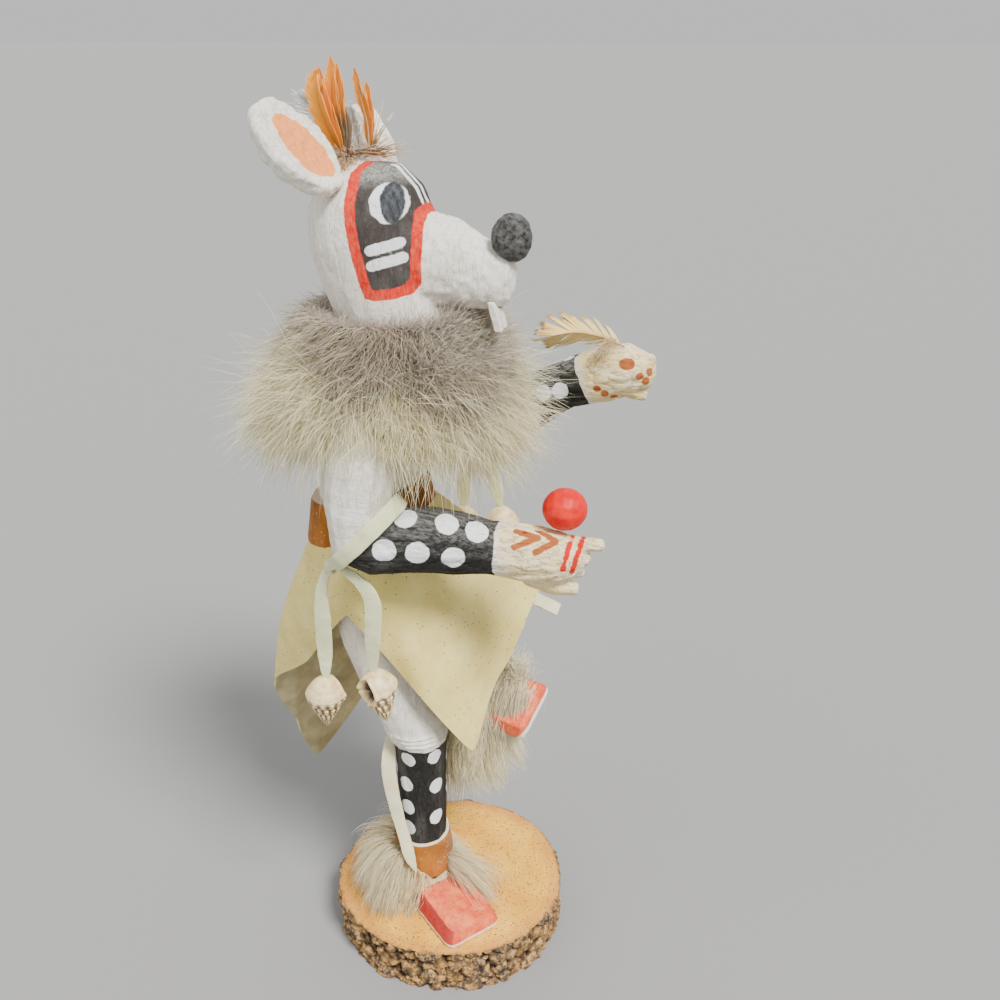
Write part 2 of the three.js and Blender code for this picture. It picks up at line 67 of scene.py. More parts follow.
def modify(piece, kind, **settings):
    # a modifier is added, set and applied
    pickOnly(piece)
    bpy.ops.object.modifier_add(type=kind)
    modifier = piece.modifiers[-1]
    for setting, value in settings.items():
        setattr(modifier, setting, value)
    bpy.ops.object.modifier_apply(modifier=modifier.name)


def store(piece, name, values):
    kept = piece.data.attributes.get(name) or piece.data.attributes.new(name, "FLOAT", "POINT")
    kept.data.foreach_set("value", np.asarray(values, np.float32))


def storeTint(piece, tints):
    kept = piece.data.attributes.new("strandTint", "FLOAT_COLOR", "POINT")
    rgba = np.ones((len(tints), 4), np.float32)
    rgba[:, :3] = tints
    kept.data.foreach_set("color", rgba.ravel())


def unit(vectors):
    vectors = np.asarray(vectors, float)
    return vectors / np.maximum(np.linalg.norm(vectors, axis=-1, keepdims=True), 1e-9)


def hashed(cell, seed=0.0):
    # a fixed random number from 0 to 1 for each whole-numbered cell
    return np.modf(np.abs(np.sin(cell @ np.array([127.1, 311.7, 74.7]) + seed) * 43758.5453))[0]


def wander(where, size, seed=0):
    # smooth noise from -1 to 1, about size mm from bump to bump; size may be three numbers
    scaled = np.asarray(where, float) / np.asarray(size, float) + seed * 17.31
    cell = np.floor(scaled)
    part = scaled - cell
    part = part * part * (3 - 2 * part)
    total = np.zeros(len(scaled))
    for corner in np.ndindex(2, 2, 2):
        weight = np.prod(np.where(corner, part, 1 - part), axis=1)
        total += weight * hashed(cell + corner)
    return 2 * total - 1


def chunks(where, size, seed=0):
    # a field of lumps: how far each point is from the crack round its lump, and the lump's own number
    scaled = np.asarray(where, float) / np.asarray(size, float) + seed * 9.7
    cell = np.floor(scaled)
    nearest = np.full((2, len(scaled)), 9.0)
    own = np.zeros(len(scaled))
    for corner in np.ndindex(3, 3, 3):
        spot = cell + corner - 1
        centre = spot + np.stack([hashed(spot, turn) for turn in (1.3, 4.1, 7.9)], axis=1)
        away = np.linalg.norm(scaled - centre, axis=1)
        closer = away < nearest[0]
        nearest[1] = np.where(closer, nearest[0], np.minimum(nearest[1], away))
        own = np.where(closer, hashed(spot, 2.2), own)
        nearest[0] = np.where(closer, away, nearest[0])
    return nearest[1] - nearest[0], own


def curve(stations, t):
    # points on a smooth line through the stations, t from 0 to 1
    stations = np.asarray(stations, float)
    before, after = 2 * stations[:1] - stations[1:2], 2 * stations[-1:] - stations[-2:-1]
    padded = np.concatenate([before, stations, after])
    spot = np.clip(np.asarray(t, float), 0, 1) * (len(stations) - 1)
    first = np.minimum(spot.astype(int), len(stations) - 2)
    part = (spot - first)[:, None]
    a, b, c, d = (padded[first + step] for step in range(4))
    return (b + part * (c - a) / 2 + part ** 2 * (2 * a - 5 * b + 4 * c - d) / 2
            + part ** 3 * (3 * (b - c) + d - a) / 2)


def wrapped(name, around, rows, shape):
    # a grid bent into a closed form: u runs round it and v from end to end, both 0 to 1
    bpy.ops.object.select_all(action="DESELECT")
    bpy.ops.mesh.primitive_grid_add(x_subdivisions=around, y_subdivisions=rows, size=1)
    piece = bpy.context.object
    piece.name = piece.data.name = name
    flat = points(piece) * mm + 0.5
    u, v = np.round(flat[:, 0] * around) / around, np.round(flat[:, 1] * rows) / rows
    place(piece, shape(u % 1.0, v))
    bpy.ops.object.mode_set(mode="EDIT")
    bpy.ops.mesh.select_all(action="SELECT")
    bpy.ops.mesh.remove_doubles(threshold=2e-6)
    bpy.ops.mesh.normals_make_consistent(inside=False)
    bpy.ops.object.mode_set(mode="OBJECT")
    return piece


def band(u, wide, thick, soft=0.35):
    # a flat section with rounded edges: across and out, for u round it
    angle = 2 * math.pi * u
    c, s = np.cos(angle), np.sin(angle)
    return np.sign(c) * np.abs(c) ** soft * wide / 2, np.sign(s) * np.abs(s) ** soft * thick / 2


def strap(name, stations, wide, thick, across, around=12, rows=48, widths=(1, 1)):
    # a strap along a smooth line, its ends closed; widths are shares of wide from end to end
    def shape(u, v):
        t = np.clip((v * rows - 1) / (rows - 2), 0, 1)
        here = curve(stations, t)
        along = unit(curve(stations, t + 0.01) - curve(stations, t - 0.01))
        wideways = np.array(across, float)
        sideways = unit(wideways - (along @ wideways)[:, None] * along)
        outway = np.cross(sideways, along)
        x, y = band(u, wide, thick)
        closed = np.where((v == 0) | (v == 1), 0, 1)
        share = curve(np.array(widths, float)[:, None], t)[:, 0] * closed
        return here + sideways * (x * share)[:, None] + outway * (y * closed)[:, None]
    return wrapped(name, around, rows, shape)


def strands(name, paths, radii, tints, side, flat=1.0):
    # each strand is a closed three-sided sliver from its root to a point; paths is strand, step, xyz in mm
    count, steps, _ = paths.shape
    along = unit(np.gradient(paths, axis=1))
    side = np.broadcast_to(side[:, None, :], paths.shape)
    sideways = unit(side - (side * along).sum(2)[:, :, None] * along)
    outway = np.cross(along, sideways)
    rings = []
    for corner in range(3):
        angle = math.radians(90 + 120 * corner)
        toCorner = sideways * math.cos(angle) + outway * (flat * math.sin(angle))
        rings.append(paths + toCorner * radii[:, :, None])
    ringed = np.stack(rings, axis=2)[:, :-1].reshape(count, 3 * (steps - 1), 3)
    corners = np.concatenate([ringed, paths[:, -1:]], axis=1)
    each = corners.shape[1]
    quads = [(3 * k + j, 3 * k + (j + 1) % 3, 3 * k + 3 + (j + 1) % 3, 3 * k + 3 + j)
             for k in range(steps - 2) for j in range(3)]
    last = 3 * (steps - 2)
    triangles = [(last + j, last + (j + 1) % 3, each - 1) for j in range(3)] + [(2, 1, 0)]
    start = np.arange(count)[:, None] * each
    quadLoops = (start + np.array(quads).ravel()[None, :]).ravel()
    triangleLoops = (start + np.array(triangles).ravel()[None, :]).ravel()
    loops = np.concatenate([quadLoops, triangleLoops]).astype(np.int32)
    quadCount, triangleCount = count * len(quads), count * len(triangles)
    starts = np.concatenate([np.arange(quadCount) * 4, quadCount * 4 + np.arange(triangleCount) * 3])
    mesh = bpy.data.meshes.new(name)
    mesh.vertices.add(count * each)
    mesh.vertices.foreach_set("co", (corners * mm).astype(np.float32).ravel())
    mesh.loops.add(len(loops))
    mesh.loops.foreach_set("vertex_index", loops)
    mesh.polygons.add(quadCount + triangleCount)
    mesh.polygons.foreach_set("loop_start", starts.astype(np.int32))
    mesh.update(calc_edges=True)
    mesh.shade_smooth()
    piece = bpy.data.objects.new(name, mesh)
    bpy.context.scene.collection.objects.link(piece)
    spread = np.repeat(tints[:, :-1], 3, axis=1)
    storeTint(piece, np.concatenate([spread, tints[:, -1:]], axis=1).reshape(-1, 3))
    return piece


def finished(piece, nodeNames, finish, smooth=50):
    # rides on the doll, stands for its solids and takes its finish
    pickOnly(piece)
    bpy.ops.object.shade_smooth_by_angle(angle=math.radians(smooth))
    return dressed(piece, nodeNames, finish)


def dressed(piece, nodeNames, finish):
    piece.data.materials.clear()
    piece.data.materials.append(finish)
    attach(piece, "root")
    if nodeNames:
        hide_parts(*nodeNames)
    return piece


marks = ("black", "red", "ochre", "pink", "stripe", "pupil", "panel")
unpainted = -9.0  # a depth well outside any mark


def carved(nodeName, pieceName, voxel, smoothing, shake=0.12, grain=(3, 3, 14), shakeSeed=0):
    # a fine skin over a solid, worked smooth, then given the knife's and the grain's unevenness
    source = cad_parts[nodeName]
    mesh = source.data.copy()
    piece = bpy.data.objects.new(pieceName, mesh)
    bpy.context.scene.collection.objects.link(piece)
    pickOnly(piece)
    bpy.ops.object.mode_set(mode="EDIT")
    bpy.ops.mesh.select_all(action="SELECT")
    bpy.ops.mesh.remove_doubles(threshold=1e-6)
    bpy.ops.object.mode_set(mode="OBJECT")
    modify(piece, "REMESH", mode="VOXEL", voxel_size=voxel * mm, adaptivity=0)
    modify(piece, "SMOOTH", factor=0.5, iterations=smoothing)
    corners = points(piece)
    uneven = 0.6 * wander(corners, grain, shakeSeed + 1)
    uneven += 0.4 * wander(corners, np.array(grain) / 2.3, shakeSeed + 2)
    place(piece, corners + normals(piece) * (shake * uneven)[:, None])
    for mark in marks:
        store(piece, mark, np.full(len(corners), unpainted))
    return piece


# painting: how deep a corner lies inside a painted mark, in mm, below 0 outside it
def discs(where, centres, radius, squash=(1, 1, 1)):
    depth = np.full(len(where), -99.0)
    for centre in centres:
        away = np.linalg.norm((where - np.array(centre)) / np.array(squash), axis=1)
        depth = np.maximum(depth, radius - away)
    return depth


def strokes(where, path, halfWidth):
    depth = np.full(len(where), -99.0)
    for start, end in zip(path[:-1], path[1:]):
        start, end = np.array(start, float), np.array(end, float)
        along = end - start
        t = np.clip((where - start) @ along / (along @ along), 0, 1)
        away = np.linalg.norm(where - start - t[:, None] * along, axis=1)
        depth = np.maximum(depth, halfWidth - away)
    return depth


def outlined(flat, corners):
    # depth inside a closed outline in the plane
    corners = np.array(corners, float)
    inside = np.zeros(len(flat), bool)
    nearest = np.full(len(flat), 99.0)
    for a, b in zip(corners, np.roll(corners, -1, axis=0)):
        along = b - a
        t = np.clip((flat - a) @ along / (along @ along), 0, 1)
        nearest = np.minimum(nearest, np.linalg.norm(flat - a - t[:, None] * along, axis=1))
        crosses = (a[1] > flat[:, 1]) != (b[1] > flat[:, 1])
        level = a[0] + (flat[:, 1] - a[1]) * along[0] / (along[1] if along[1] else 1e-9)
        inside ^= crosses & (flat[:, 0] < level)
    return np.where(inside, nearest, -nearest)


# finishes
def srgb(*shades):
    return tuple(c / 12.92 if c <= 0.04045 else ((c + 0.055) / 1.055) ** 2.4 for c in shades) + (1,)


def newFinish(name, roughness=0.7, **sockets):
    finish = bpy.data.materials.new(name)
    finish.use_nodes = True
    tree = finish.node_tree
    shader = tree.nodes["Principled BSDF"]
    shader.inputs["Roughness"].default_value = roughness
    shader.inputs["Specular IOR Level"].default_value = 0.22  # matte unless a finish says otherwise
    for socket, value in sockets.items():
        shader.inputs[socket.replace("_", " ")].default_value = value
    return finish, tree, shader


def add(tree, kind, inputs=None, **settings):
    # a node with its settings; inputs are plain values or sockets to link from
    node = tree.nodes.new("ShaderNode" + kind)
    for setting, value in settings.items():
        setattr(node, setting, value)
    for socket, value in (inputs or {}).items():
        if isinstance(value, bpy.types.NodeSocket):
            tree.links.new(value, node.inputs[socket])
        else:
            node.inputs[socket].default_value = value
    return node


def grainAt(tree, stretch=(1, 1, 1)):
    # object coordinates in mm, stretched
    spot = add(tree, "TexCoord").outputs["Object"]
    return add(tree, "Mapping", {"Vector": spot, "Scale": [s / mm for s in stretch]}).outputs[0]


def speckle(tree, stretch, scale, detail=3.0, rough=0.6):
    return add(tree, "TexNoise", {"Vector": grainAt(tree, stretch), "Scale": scale, "Detail": detail,
                                  "Roughness": rough}).outputs["Fac"]


def cells(tree, scale):
    # how far each place is from the nearest of many scattered spots
    pattern = add(tree, "TexVoronoi", {"Vector": grainAt(tree), "Scale": scale}, feature="F1")
    return pattern.outputs["Distance"]


def remap(tree, value, low, high, toLow=0.0, toHigh=1.0):
    return add(tree, "MapRange", {"Value": value, "From Min": low, "From Max": high, "To Min": toLow,
                                  "To Max": toHigh}).outputs[0]


def maths(tree, operation, a, b):
    return add(tree, "Math", {0: a, 1: b}, operation=operation).outputs[0]


def blend(tree, share, under, over):
    return add(tree, "Mix", {"Factor": share, 6: under, 7: over}, data_type="RGBA").outputs[2]


def mottled(tree, under, over, pattern, low, high, most=1.0):
    # the second tone over the first where the pattern climbs from low to high
    return blend(tree, remap(tree, pattern, low, high, 0, most), under, over)


def times(tree, a, b):
    return maths(tree, "MULTIPLY", a, b)


def less(tree, value):
    # what is left of 1
    return maths(tree, "SUBTRACT", 1.0, value)


def layer(tree, name, kind="Fac"):
    # one of the piece's own layers
    return add(tree, "Attribute", attribute_name=name).outputs[kind]


def painted(tree, name, under, over, edge=0.25, wobble=None):
    # a painted mark over what is under it, with a slightly uneven edge
    depth = layer(tree, name)
    if wobble is not None:
        depth = maths(tree, "ADD", depth, wobble)
    return mottled(tree, under, over, depth, 0.02, 0.02 + edge)


def bump(tree, shader, height, distance, strength=1.0, under=None):
    inputs = {"Height": height, "Distance": distance * mm, "Strength": strength}
    if under is not None:
        inputs["Normal"] = under
    node = add(tree, "Bump", inputs)
    tree.links.new(node.outputs[0], shader.inputs["Normal"])
    return node.outputs[0]


paint = {
    "white": srgb(0.95, 0.93, 0.88), "whiteWorn": srgb(0.80, 0.74, 0.64), "black": srgb(0.15, 0.147, 0.14),
    "blackWorn": srgb(0.42, 0.41, 0.39), "red": srgb(0.84, 0.14, 0.10), "ochre": srgb(0.68, 0.38, 0.20),
    "pink": srgb(0.98, 0.62, 0.36), "pupil": srgb(0.20, 0.21, 0.22), "stripe": srgb(0.93, 0.94, 0.94),
    "wood": srgb(0.80, 0.66, 0.45), "creaseGrimeAndShade": srgb(0.50, 0.42, 0.33),
}


def furrows(tree, stretch, scale, wide=0.03):
    # 0 in thin wavering lines along the grain, 1 between them
    level = maths(tree, "SUBTRACT", speckle(tree, stretch, scale, 2.5, 0.55), 0.5)
    return remap(tree, maths(tree, "ABSOLUTE", level, 0.0), 0, wide)


def wavering(tree, scale, wide):
    # a signed unevenness in mm for painted edges
    shift = maths(tree, "MULTIPLY_ADD", speckle(tree, (1, 1, 1), scale), wide)
    shift.node.inputs[2].default_value = -wide / 2
    return shift


def paintedWood(name, along=(1, 1, 0.25), furrowScale=0.5, relief=0.4, creaseGrimeAndShade=0.16, tan=0.35, upright=None):
    # matte paint brushed over carved wood: marks are read from the piece's own layers
    finish, tree, shader = newFinish(name, roughness=0.8)
    wobble = wavering(tree, 0.55, 0.7)
    patchy = speckle(tree, along, 0.16, 5)
    fine = speckle(tree, along, 1.6, 4)
    lines = furrows(tree, along, furrowScale)
    if upright is not None:  # where this layer is 1 the grain runs up and down instead
        share = layer(tree, upright)
        lines = maths(tree, "ADD", times(tree, lines, less(tree, share)),
                      times(tree, furrows(tree, (1, 1, 0.2), furrowScale), share))
    sunk = less(tree, lines)
    if upright is not None:
        sunk = times(tree, sunk, less(tree, times(tree, share, 0.8)))
    colour = mottled(tree, paint["white"], paint["whiteWorn"], patchy, 0.5, 0.72, tan)
    colour = mottled(tree, colour, paint["wood"], fine, 0.64, 0.8, 0.5)
    # the furrows go brown-grey on the white: painted shade in the grooves, with grime
    colour = blend(tree, times(tree, sunk, creaseGrimeAndShade), colour, paint["creaseGrimeAndShade"])
    blackWearAndSheen = mottled(tree, paint["black"], paint["blackWorn"], patchy, 0.48, 0.75, 0.6)
    blackWearAndSheen = mottled(tree, blackWearAndSheen, paint["blackWorn"], fine, 0.58, 0.8, 0.45)
    tanned = times(tree, layer(tree, "tanned"), remap(tree, patchy, 0.3, 0.6, 0.35, 0.9))
    colour = blend(tree, tanned, colour, srgb(0.95, 0.86, 0.62))
    # on the hand the furrows go brown: painted shade in the grooves, with grime
    colour = blend(tree, times(tree, sunk, times(tree, tanned, 0.6)), colour, srgb(0.58, 0.42, 0.24))
    # upward faces of the black paint go grey: painted sheen where the light falls, with scuffing
    scuffAndSheen = times(tree, layer(tree, "scuffAndSheen"), remap(tree, fine, 0.36, 0.6))
    blackWearAndSheen = blend(tree, scuffAndSheen, blackWearAndSheen, srgb(0.52, 0.52, 0.50))
    # the black goes near black in the furrows: painted shade in the grooves
    blackWearAndSheen = blend(tree, times(tree, sunk, 0.6), blackWearAndSheen, srgb(0.02, 0.02, 0.02))
    colour = painted(tree, "black", colour, blackWearAndSheen, wobble=wobble)
    for mark in ("red", "ochre", "pink", "stripe", "pupil"):
        colour = painted(tree, mark, colour, paint[mark], wobble=wobble)
    tree.links.new(colour, shader.inputs["Base Color"])
    coarse = bump(tree, shader, speckle(tree, along, 0.8, 6, 0.7), relief)
    bump(tree, shader, lines, 0.16, 0.7, coarse)
    return finish


def grooved(piece, grain, depth, seed, where=None):
    # the knife's lengthwise grooves, cut into the surface
    at = points(piece)
    line = np.clip(np.abs(wander(at, grain, seed)) / 0.16, 0, 1)
    cut = depth * (1 - line) ** 1.5 * (0.4 + 0.6 * hashed(np.floor(at / 9.0), seed))
    if where is not None:
        cut = cut * where
    place(piece, at - normals(piece) * cut[:, None])


paintedGrain = paintedWood("paintedCarving")
paintedMask = paintedWood("paintedMask", along=(1, 1, 0.6), furrowScale=0.5, relief=0.5, creaseGrimeAndShade=0.15)
paintedHand = paintedWood("paintedArm", along=(1, 0.22, 1), furrowScale=0.6, relief=0.6, creaseGrimeAndShade=0.5, tan=0.7,
                          upright="upperArm")
print("finishes made")


# the carved and painted figure
figure = {
    "middle": -3.4,  # the figure's own plane of symmetry
    "shinTop": 79.5, "leftShinTop": 104, "leftShinFoot": 84,
    "rightLeg": 10, "leftLeg": 8,  # how far each shin's paint goes toward the other leg
    "rimHigh": 5.2, "rimLine": 1.6,  # a raised, lined rim above the painted right shin
    "shinDot": 2.7,
    "shinDots": [(-16.6, 7.4, 75.5), (-15.3, 9, 64.4), (-14.8, 8.9, 55), (-14.7, 9, 46.4), (-14, -0.4, 75.8),
                 (-12.4, -0.2, 63.3), (-12, 0.3, 50.4), (-3.4, -1.4, 70), (-3.2, -1, 57), (-3.2, -0.8, 45),
                 (0.8, 6, 75), (0.8, 7, 62), (0.8, 7, 50), (-4, 15.5, 70), (-4, 15.6, 58), (-4, 15.6, 47),
                 (-11.6, 14.6, 68), (-11.6, 14.6, 51)],
}


def beyond(at, plane):
    # how far past a plane each corner lies; a plane is a spot on it and the way it faces
    spot, facing = plane
    return (at - np.array(spot)) @ np.array(facing, float)


body = carved("carved_body", "carvedBody", 0.8, 7, shake=0.2)
grooved(body, (2.6, 2.6, 26), 0.45, 42)
at = points(body)
aboveShin = at[:, 2] - figure["shinTop"]
onRim = (aboveShin > 0.2) & (aboveShin < figure["rimHigh"]) & (at[:, 0] < figure["rightLeg"])
rim = np.where(onRim, 0.35 + 0.22 * np.cos(aboveShin * 2 * math.pi / figure["rimLine"]), 0)
place(body, at + normals(body) * rim[:, None])
at = points(body)
kneeEdge = wander(at, 4, 3) * 0.6
rightShin = np.minimum(figure["shinTop"] - at[:, 2] + kneeEdge, figure["rightLeg"] - at[:, 0])
leftShin = np.minimum(figure["leftShinTop"] - at[:, 2] + kneeEdge, at[:, 0] - figure["leftLeg"])
leftShin = np.where(at[:, 2] > figure["leftShinFoot"], leftShin, unpainted)
store(body, "black", np.maximum(rightShin, leftShin))
dots = discs(at, figure["shinDots"], figure["shinDot"], (1, 0.95, 1.12))
store(body, "stripe", np.where(at[:, 2] < figure["leftShinFoot"], dots, unpainted))
finished(body, ["carved_body"], paintedGrain)
print("body carved")

rightArmPaint = {
    "elbow": ((0, 9.6, 160.6), (0, -0.72, -0.69)),  # the plane between upper arm and forearm
    "sleeve": 1.2, "wrist": -23.6, "dot": 3.2, "chevron": 1.0, "bar": 0.85, "palm": -19,
    "dots": [(-33.1, -1.5, 167), (-31, -11.8, 165.6), (-28.8, -19, 163.3), (-39.4, 2.1, 160),
             (-37.4, -5.9, 159.3), (-34.3, -14.3, 157.4), (-25, 0, 160), (-22, -10, 158), (-26, -8, 152),
             (-30, -2, 152)],
    "chevrons": [[(-25, -28.2, 162.6), (-25, -34, 161.3), (-28.4, -28.6, 159.8)],
                 [(-22.9, -33.5, 162.3), (-24.3, -38.5, 160.5), (-27.8, -33.9, 158.5)]],
    "bars": [[(-22.3, -42, 160.2), (-26.5, -40.9, 153.9)], [(-21.7, -44.7, 160.3), (-25.2, -43, 152.9)]],
}
rightArm = carved("right_arm", "rightArm", 0.5, 4, grain=(4, 12, 4), shake=0.25)
foreShare = np.clip(beyond(points(rightArm), rightArmPaint["elbow"]) / 3, 0, 1)
grooved(rightArm, (1.8, 16, 1.8), 0.5, 43, foreShare)
grooved(rightArm, (2, 2, 18), 0.2, 44, 1 - foreShare)
store(rightArm, "upperArm", 1 - foreShare)
at = points(rightArm)
# upward faces of the black take the painted sheen, with scuffing
store(rightArm, "scuffAndSheen", 0.55 * np.clip(normals(rightArm)[:, 2] * 1.6, 0, 1))
grooved(rightArm, (1.5, 7, 1.5), 0.5, 45, np.clip((-23 - at[:, 1]) / 2, 0, 1))
at = points(rightArm)
wrist = at[:, 1] - rightArmPaint["wrist"] + 0.8 * wander(at, 5, 4)
store(rightArm, "black", np.minimum(wrist, beyond(at, rightArmPaint["elbow"]) - rightArmPaint["sleeve"]))
store(rightArm, "tanned", np.clip(-wrist / 2, 0, 1))
store(rightArm, "stripe", discs(at, rightArmPaint["dots"], rightArmPaint["dot"]))
chevrons = [strokes(at, path, rightArmPaint["chevron"]) for path in rightArmPaint["chevrons"]]
store(rightArm, "ochre", np.maximum.reduce(chevrons))
bars = [strokes(at[:, 1:], np.array(path)[:, 1:], rightArmPaint["bar"]) for path in rightArmPaint["bars"]]
redBars = np.maximum.reduce(bars) - 0.6 * np.clip(wander(at, 0.9, 8), 0, 1)  # the knuckles break the strokes
store(rightArm, "red", np.where(at[:, 0] < rightArmPaint["palm"], redBars, unpainted))
finished(rightArm, ["right_arm"], paintedHand)

leftArmPaint = {
    "elbow": ((38, 0.6, 166.9), (0.42, -0.84, -0.35)), "sleeve": 1.2, "dot": 2.6, "oval": 2.5, "spot": 1.35,
    "wrist": ((0, -33, 186), (0, 1, -0.35)),
    "dots": [(29.9, -22.5, 180.8), (29.8, -27.6, 181.9), (36.5, -28, 191.5), (30.6, -19.7, 171.8),
             (34.7, -25.6, 172.2), (37, -30, 176.6), (45, -16, 172), (46, -24, 177), (44, -9, 176),
             (40, -16, 184)],
    "ovals": [(29.5, -46.9, 191.7)],
    "spots": [(29.6, -50.8, 188.2), (31.3, -53.3, 189.3), (30.8, -52.4, 186.7), (29.1, -38.6, 183.7),
              (29.6, -40.9, 182.2), (31.6, -43.3, 180.8)],
}
leftArm = carved("left_arm", "leftArm", 0.5, 4, grain=(4, 12, 4), shake=0.25, shakeSeed=5)
grooved(leftArm, (1.8, 16, 1.8), 0.5, 47)
at = points(leftArm)
# upward faces of the black take the painted sheen, with scuffing
store(leftArm, "scuffAndSheen", 0.9 * np.clip(normals(leftArm)[:, 2] * 1.8 - 0.2, 0, 1))
grooved(leftArm, (1.6, 8, 1.6), 0.45, 48, np.clip((-33 - at[:, 1]) / 2, 0, 1))
at = points(leftArm)
wrist = beyond(at, leftArmPaint["wrist"]) + 0.8 * wander(at, 5, 6)
store(leftArm, "black", np.minimum(wrist, beyond(at, leftArmPaint["elbow"]) - leftArmPaint["sleeve"]))
store(leftArm, "tanned", np.clip(-wrist / 2, 0, 1))
store(leftArm, "stripe", discs(at, leftArmPaint["dots"], leftArmPaint["dot"]))
store(leftArm, "ochre", np.maximum(discs(at, leftArmPaint["ovals"], leftArmPaint["oval"], (1, 1, 0.72)),
                                   discs(at, leftArmPaint["spots"], leftArmPaint["spot"])))
finished(leftArm, ["left_arm"], paintedHand)
print("arms carved")


# the mask
face = {
    # the painted panel's edge from the side, as y and z, from the top of the back edge round to the brow
    "panel": [(16.6, 258), (16.4, 248.4), (16.2, 245), (16.2, 240), (15.8, 236), (15.2, 232.5),
              (14.2, 227.3), (12.9, 221.9), (11.6, 218.2), (9, 217.7), (4.5, 218.2), (0.2, 219.4),
              (-1.9, 222.2), (-2.1, 231), (-1.6, 234.4), (-1.4, 237.4), (-24, 238.4), (-24, 258)],
    "border": 2.7, "eye": (6.4, 240.4), "eyeHalf": (4.0, 4.6),
    "pupil": (5.6, 240.4), "pupilHalf": (2.5, 4.9),
    "upright": 0.17,  # the eye leans by this much so that it looks upright on the narrowing mask
    "cheek": 4.2,  # nothing of the eye is nearer the middle than this
    "bars": [[(9.6, 230), (3.4, 231.6)], [(9.5, 226.4), (2.4, 228.2)]], "barHalf": 1.4,
    "stripeApart": 3.1, "stripeHalf": 1.0, "stripeEnds": (239.8, 247.6), "stripeBack": 9,
    # above this height the black panel takes painted sheen, with scuffing
    "scuffAndSheenAbove": 243.5,
}
head = carved("masked_head", "mouseMask", 0.62, 7, shake=0.2, grain=(4, 4, 9), shakeSeed=9)
grooved(head, (2.4, 2.4, 22), 0.35, 49, np.clip((points(head)[:, 1] - 11) / 3, 0, 1))
at = points(head)
pitted = 0.34 * wander(at, 1.5, 50) * np.clip((4 - at[:, 1]) / 6, 0, 1)  # the muzzle's gritty coat
place(head, at + normals(head) * pitted[:, None])
at = points(head)
side = at[:, 1:]
panel = outlined(side, face["panel"])
store(head, "red", panel)
store(head, "panel", panel - face["border"])


def oval(flat, centre, half):
    scaled = (flat - np.array(centre)) / np.array(half)
    return (1 - np.linalg.norm(scaled, axis=1)) * min(half)


beside = np.abs(at[:, 0] - figure["middle"])
leaning = side.copy()
leaning[:, 0] -= face["upright"] * (side[:, 1] - face["eye"][1])
eye, pupil = (np.minimum(oval(leaning, face[part], face[part + "Half"]), beside - face["cheek"])
              for part in ("eye", "pupil"))
half = face["stripeApart"] / 2
browLine = [(half, height) for height in face["stripeEnds"]]
brow = strokes(np.stack([beside, at[:, 2]], axis=1), browLine, face["stripeHalf"])
bars = [strokes(side, ends, face["barHalf"]) for ends in face["bars"]]
store(head, "stripe", np.maximum.reduce([eye, np.minimum(brow, face["stripeBack"] - at[:, 1])] + bars))
store(head, "pupil", pupil)
# the panel's top greys: painted sheen from above, with scuffing
store(head, "scuffAndSheen", np.clip((at[:, 2] - face["scuffAndSheenAbove"]) / 3, 0, 1) * 0.8)


def maskFinish():
    finish, tree, shader = newFinish("maskPaint", roughness=0.8)
    wobble = wavering(tree, 0.45, 0.8)
    grain = speckle(tree, (1, 1, 0.35), 1.1, 5)
    patchy = speckle(tree, (1, 1, 0.6), 0.16, 5)
    grit = speckle(tree, (1, 1, 1), 1.5, 5, 0.7)
    lines = furrows(tree, (1, 1, 0.18), 0.42)
    sunk = less(tree, lines)
    colour = mottled(tree, paint["white"], paint["whiteWorn"], patchy, 0.52, 0.75, 0.4)
    colour = mottled(tree, colour, paint["wood"], grit, 0.60, 0.75, 0.5)
    # the furrows go brown-grey: painted shade in the grooves, with grime
    colour = blend(tree, times(tree, sunk, 0.16), colour, paint["creaseGrimeAndShade"])
    brushed = mottled(tree, paint["red"], srgb(0.88, 0.33, 0.24), grain, 0.4, 0.62)
    colour = painted(tree, "red", colour, brushed, wobble=wobble)
    blackWearAndSheen = mottled(tree, srgb(0.25, 0.225, 0.21), paint["blackWorn"], patchy, 0.45, 0.7, 0.5)
    blackWearAndSheen = mottled(tree, blackWearAndSheen, paint["blackWorn"], grain, 0.56, 0.8, 0.5)
    # the panel's top goes grey: painted sheen, with scuffing
    scuffAndSheen = times(tree, layer(tree, "scuffAndSheen"), remap(tree, grit, 0.36, 0.56))
    blackWearAndSheen = blend(tree, scuffAndSheen, blackWearAndSheen, srgb(0.66, 0.66, 0.63))
    colour = painted(tree, "panel", colour, blackWearAndSheen, wobble=wobble)
    colour = painted(tree, "stripe", colour, paint["stripe"], wobble=wobble)
    eyeTone = mottled(tree, paint["pupil"], srgb(0.34, 0.35, 0.36), grain, 0.4, 0.65)
    colour = painted(tree, "pupil", colour, eyeTone, wobble=wobble)
    tree.links.new(colour, shader.inputs["Base Color"])
    coarse = bump(tree, shader, speckle(tree, (1, 1, 0.6), 0.9, 6, 0.7), 0.5)
    bump(tree, shader, maths(tree, "ADD", lines, grit), 0.16, 0.7, coarse)
    return finish


finished(head, ["masked_head"], maskFinish())
print("mask carved")

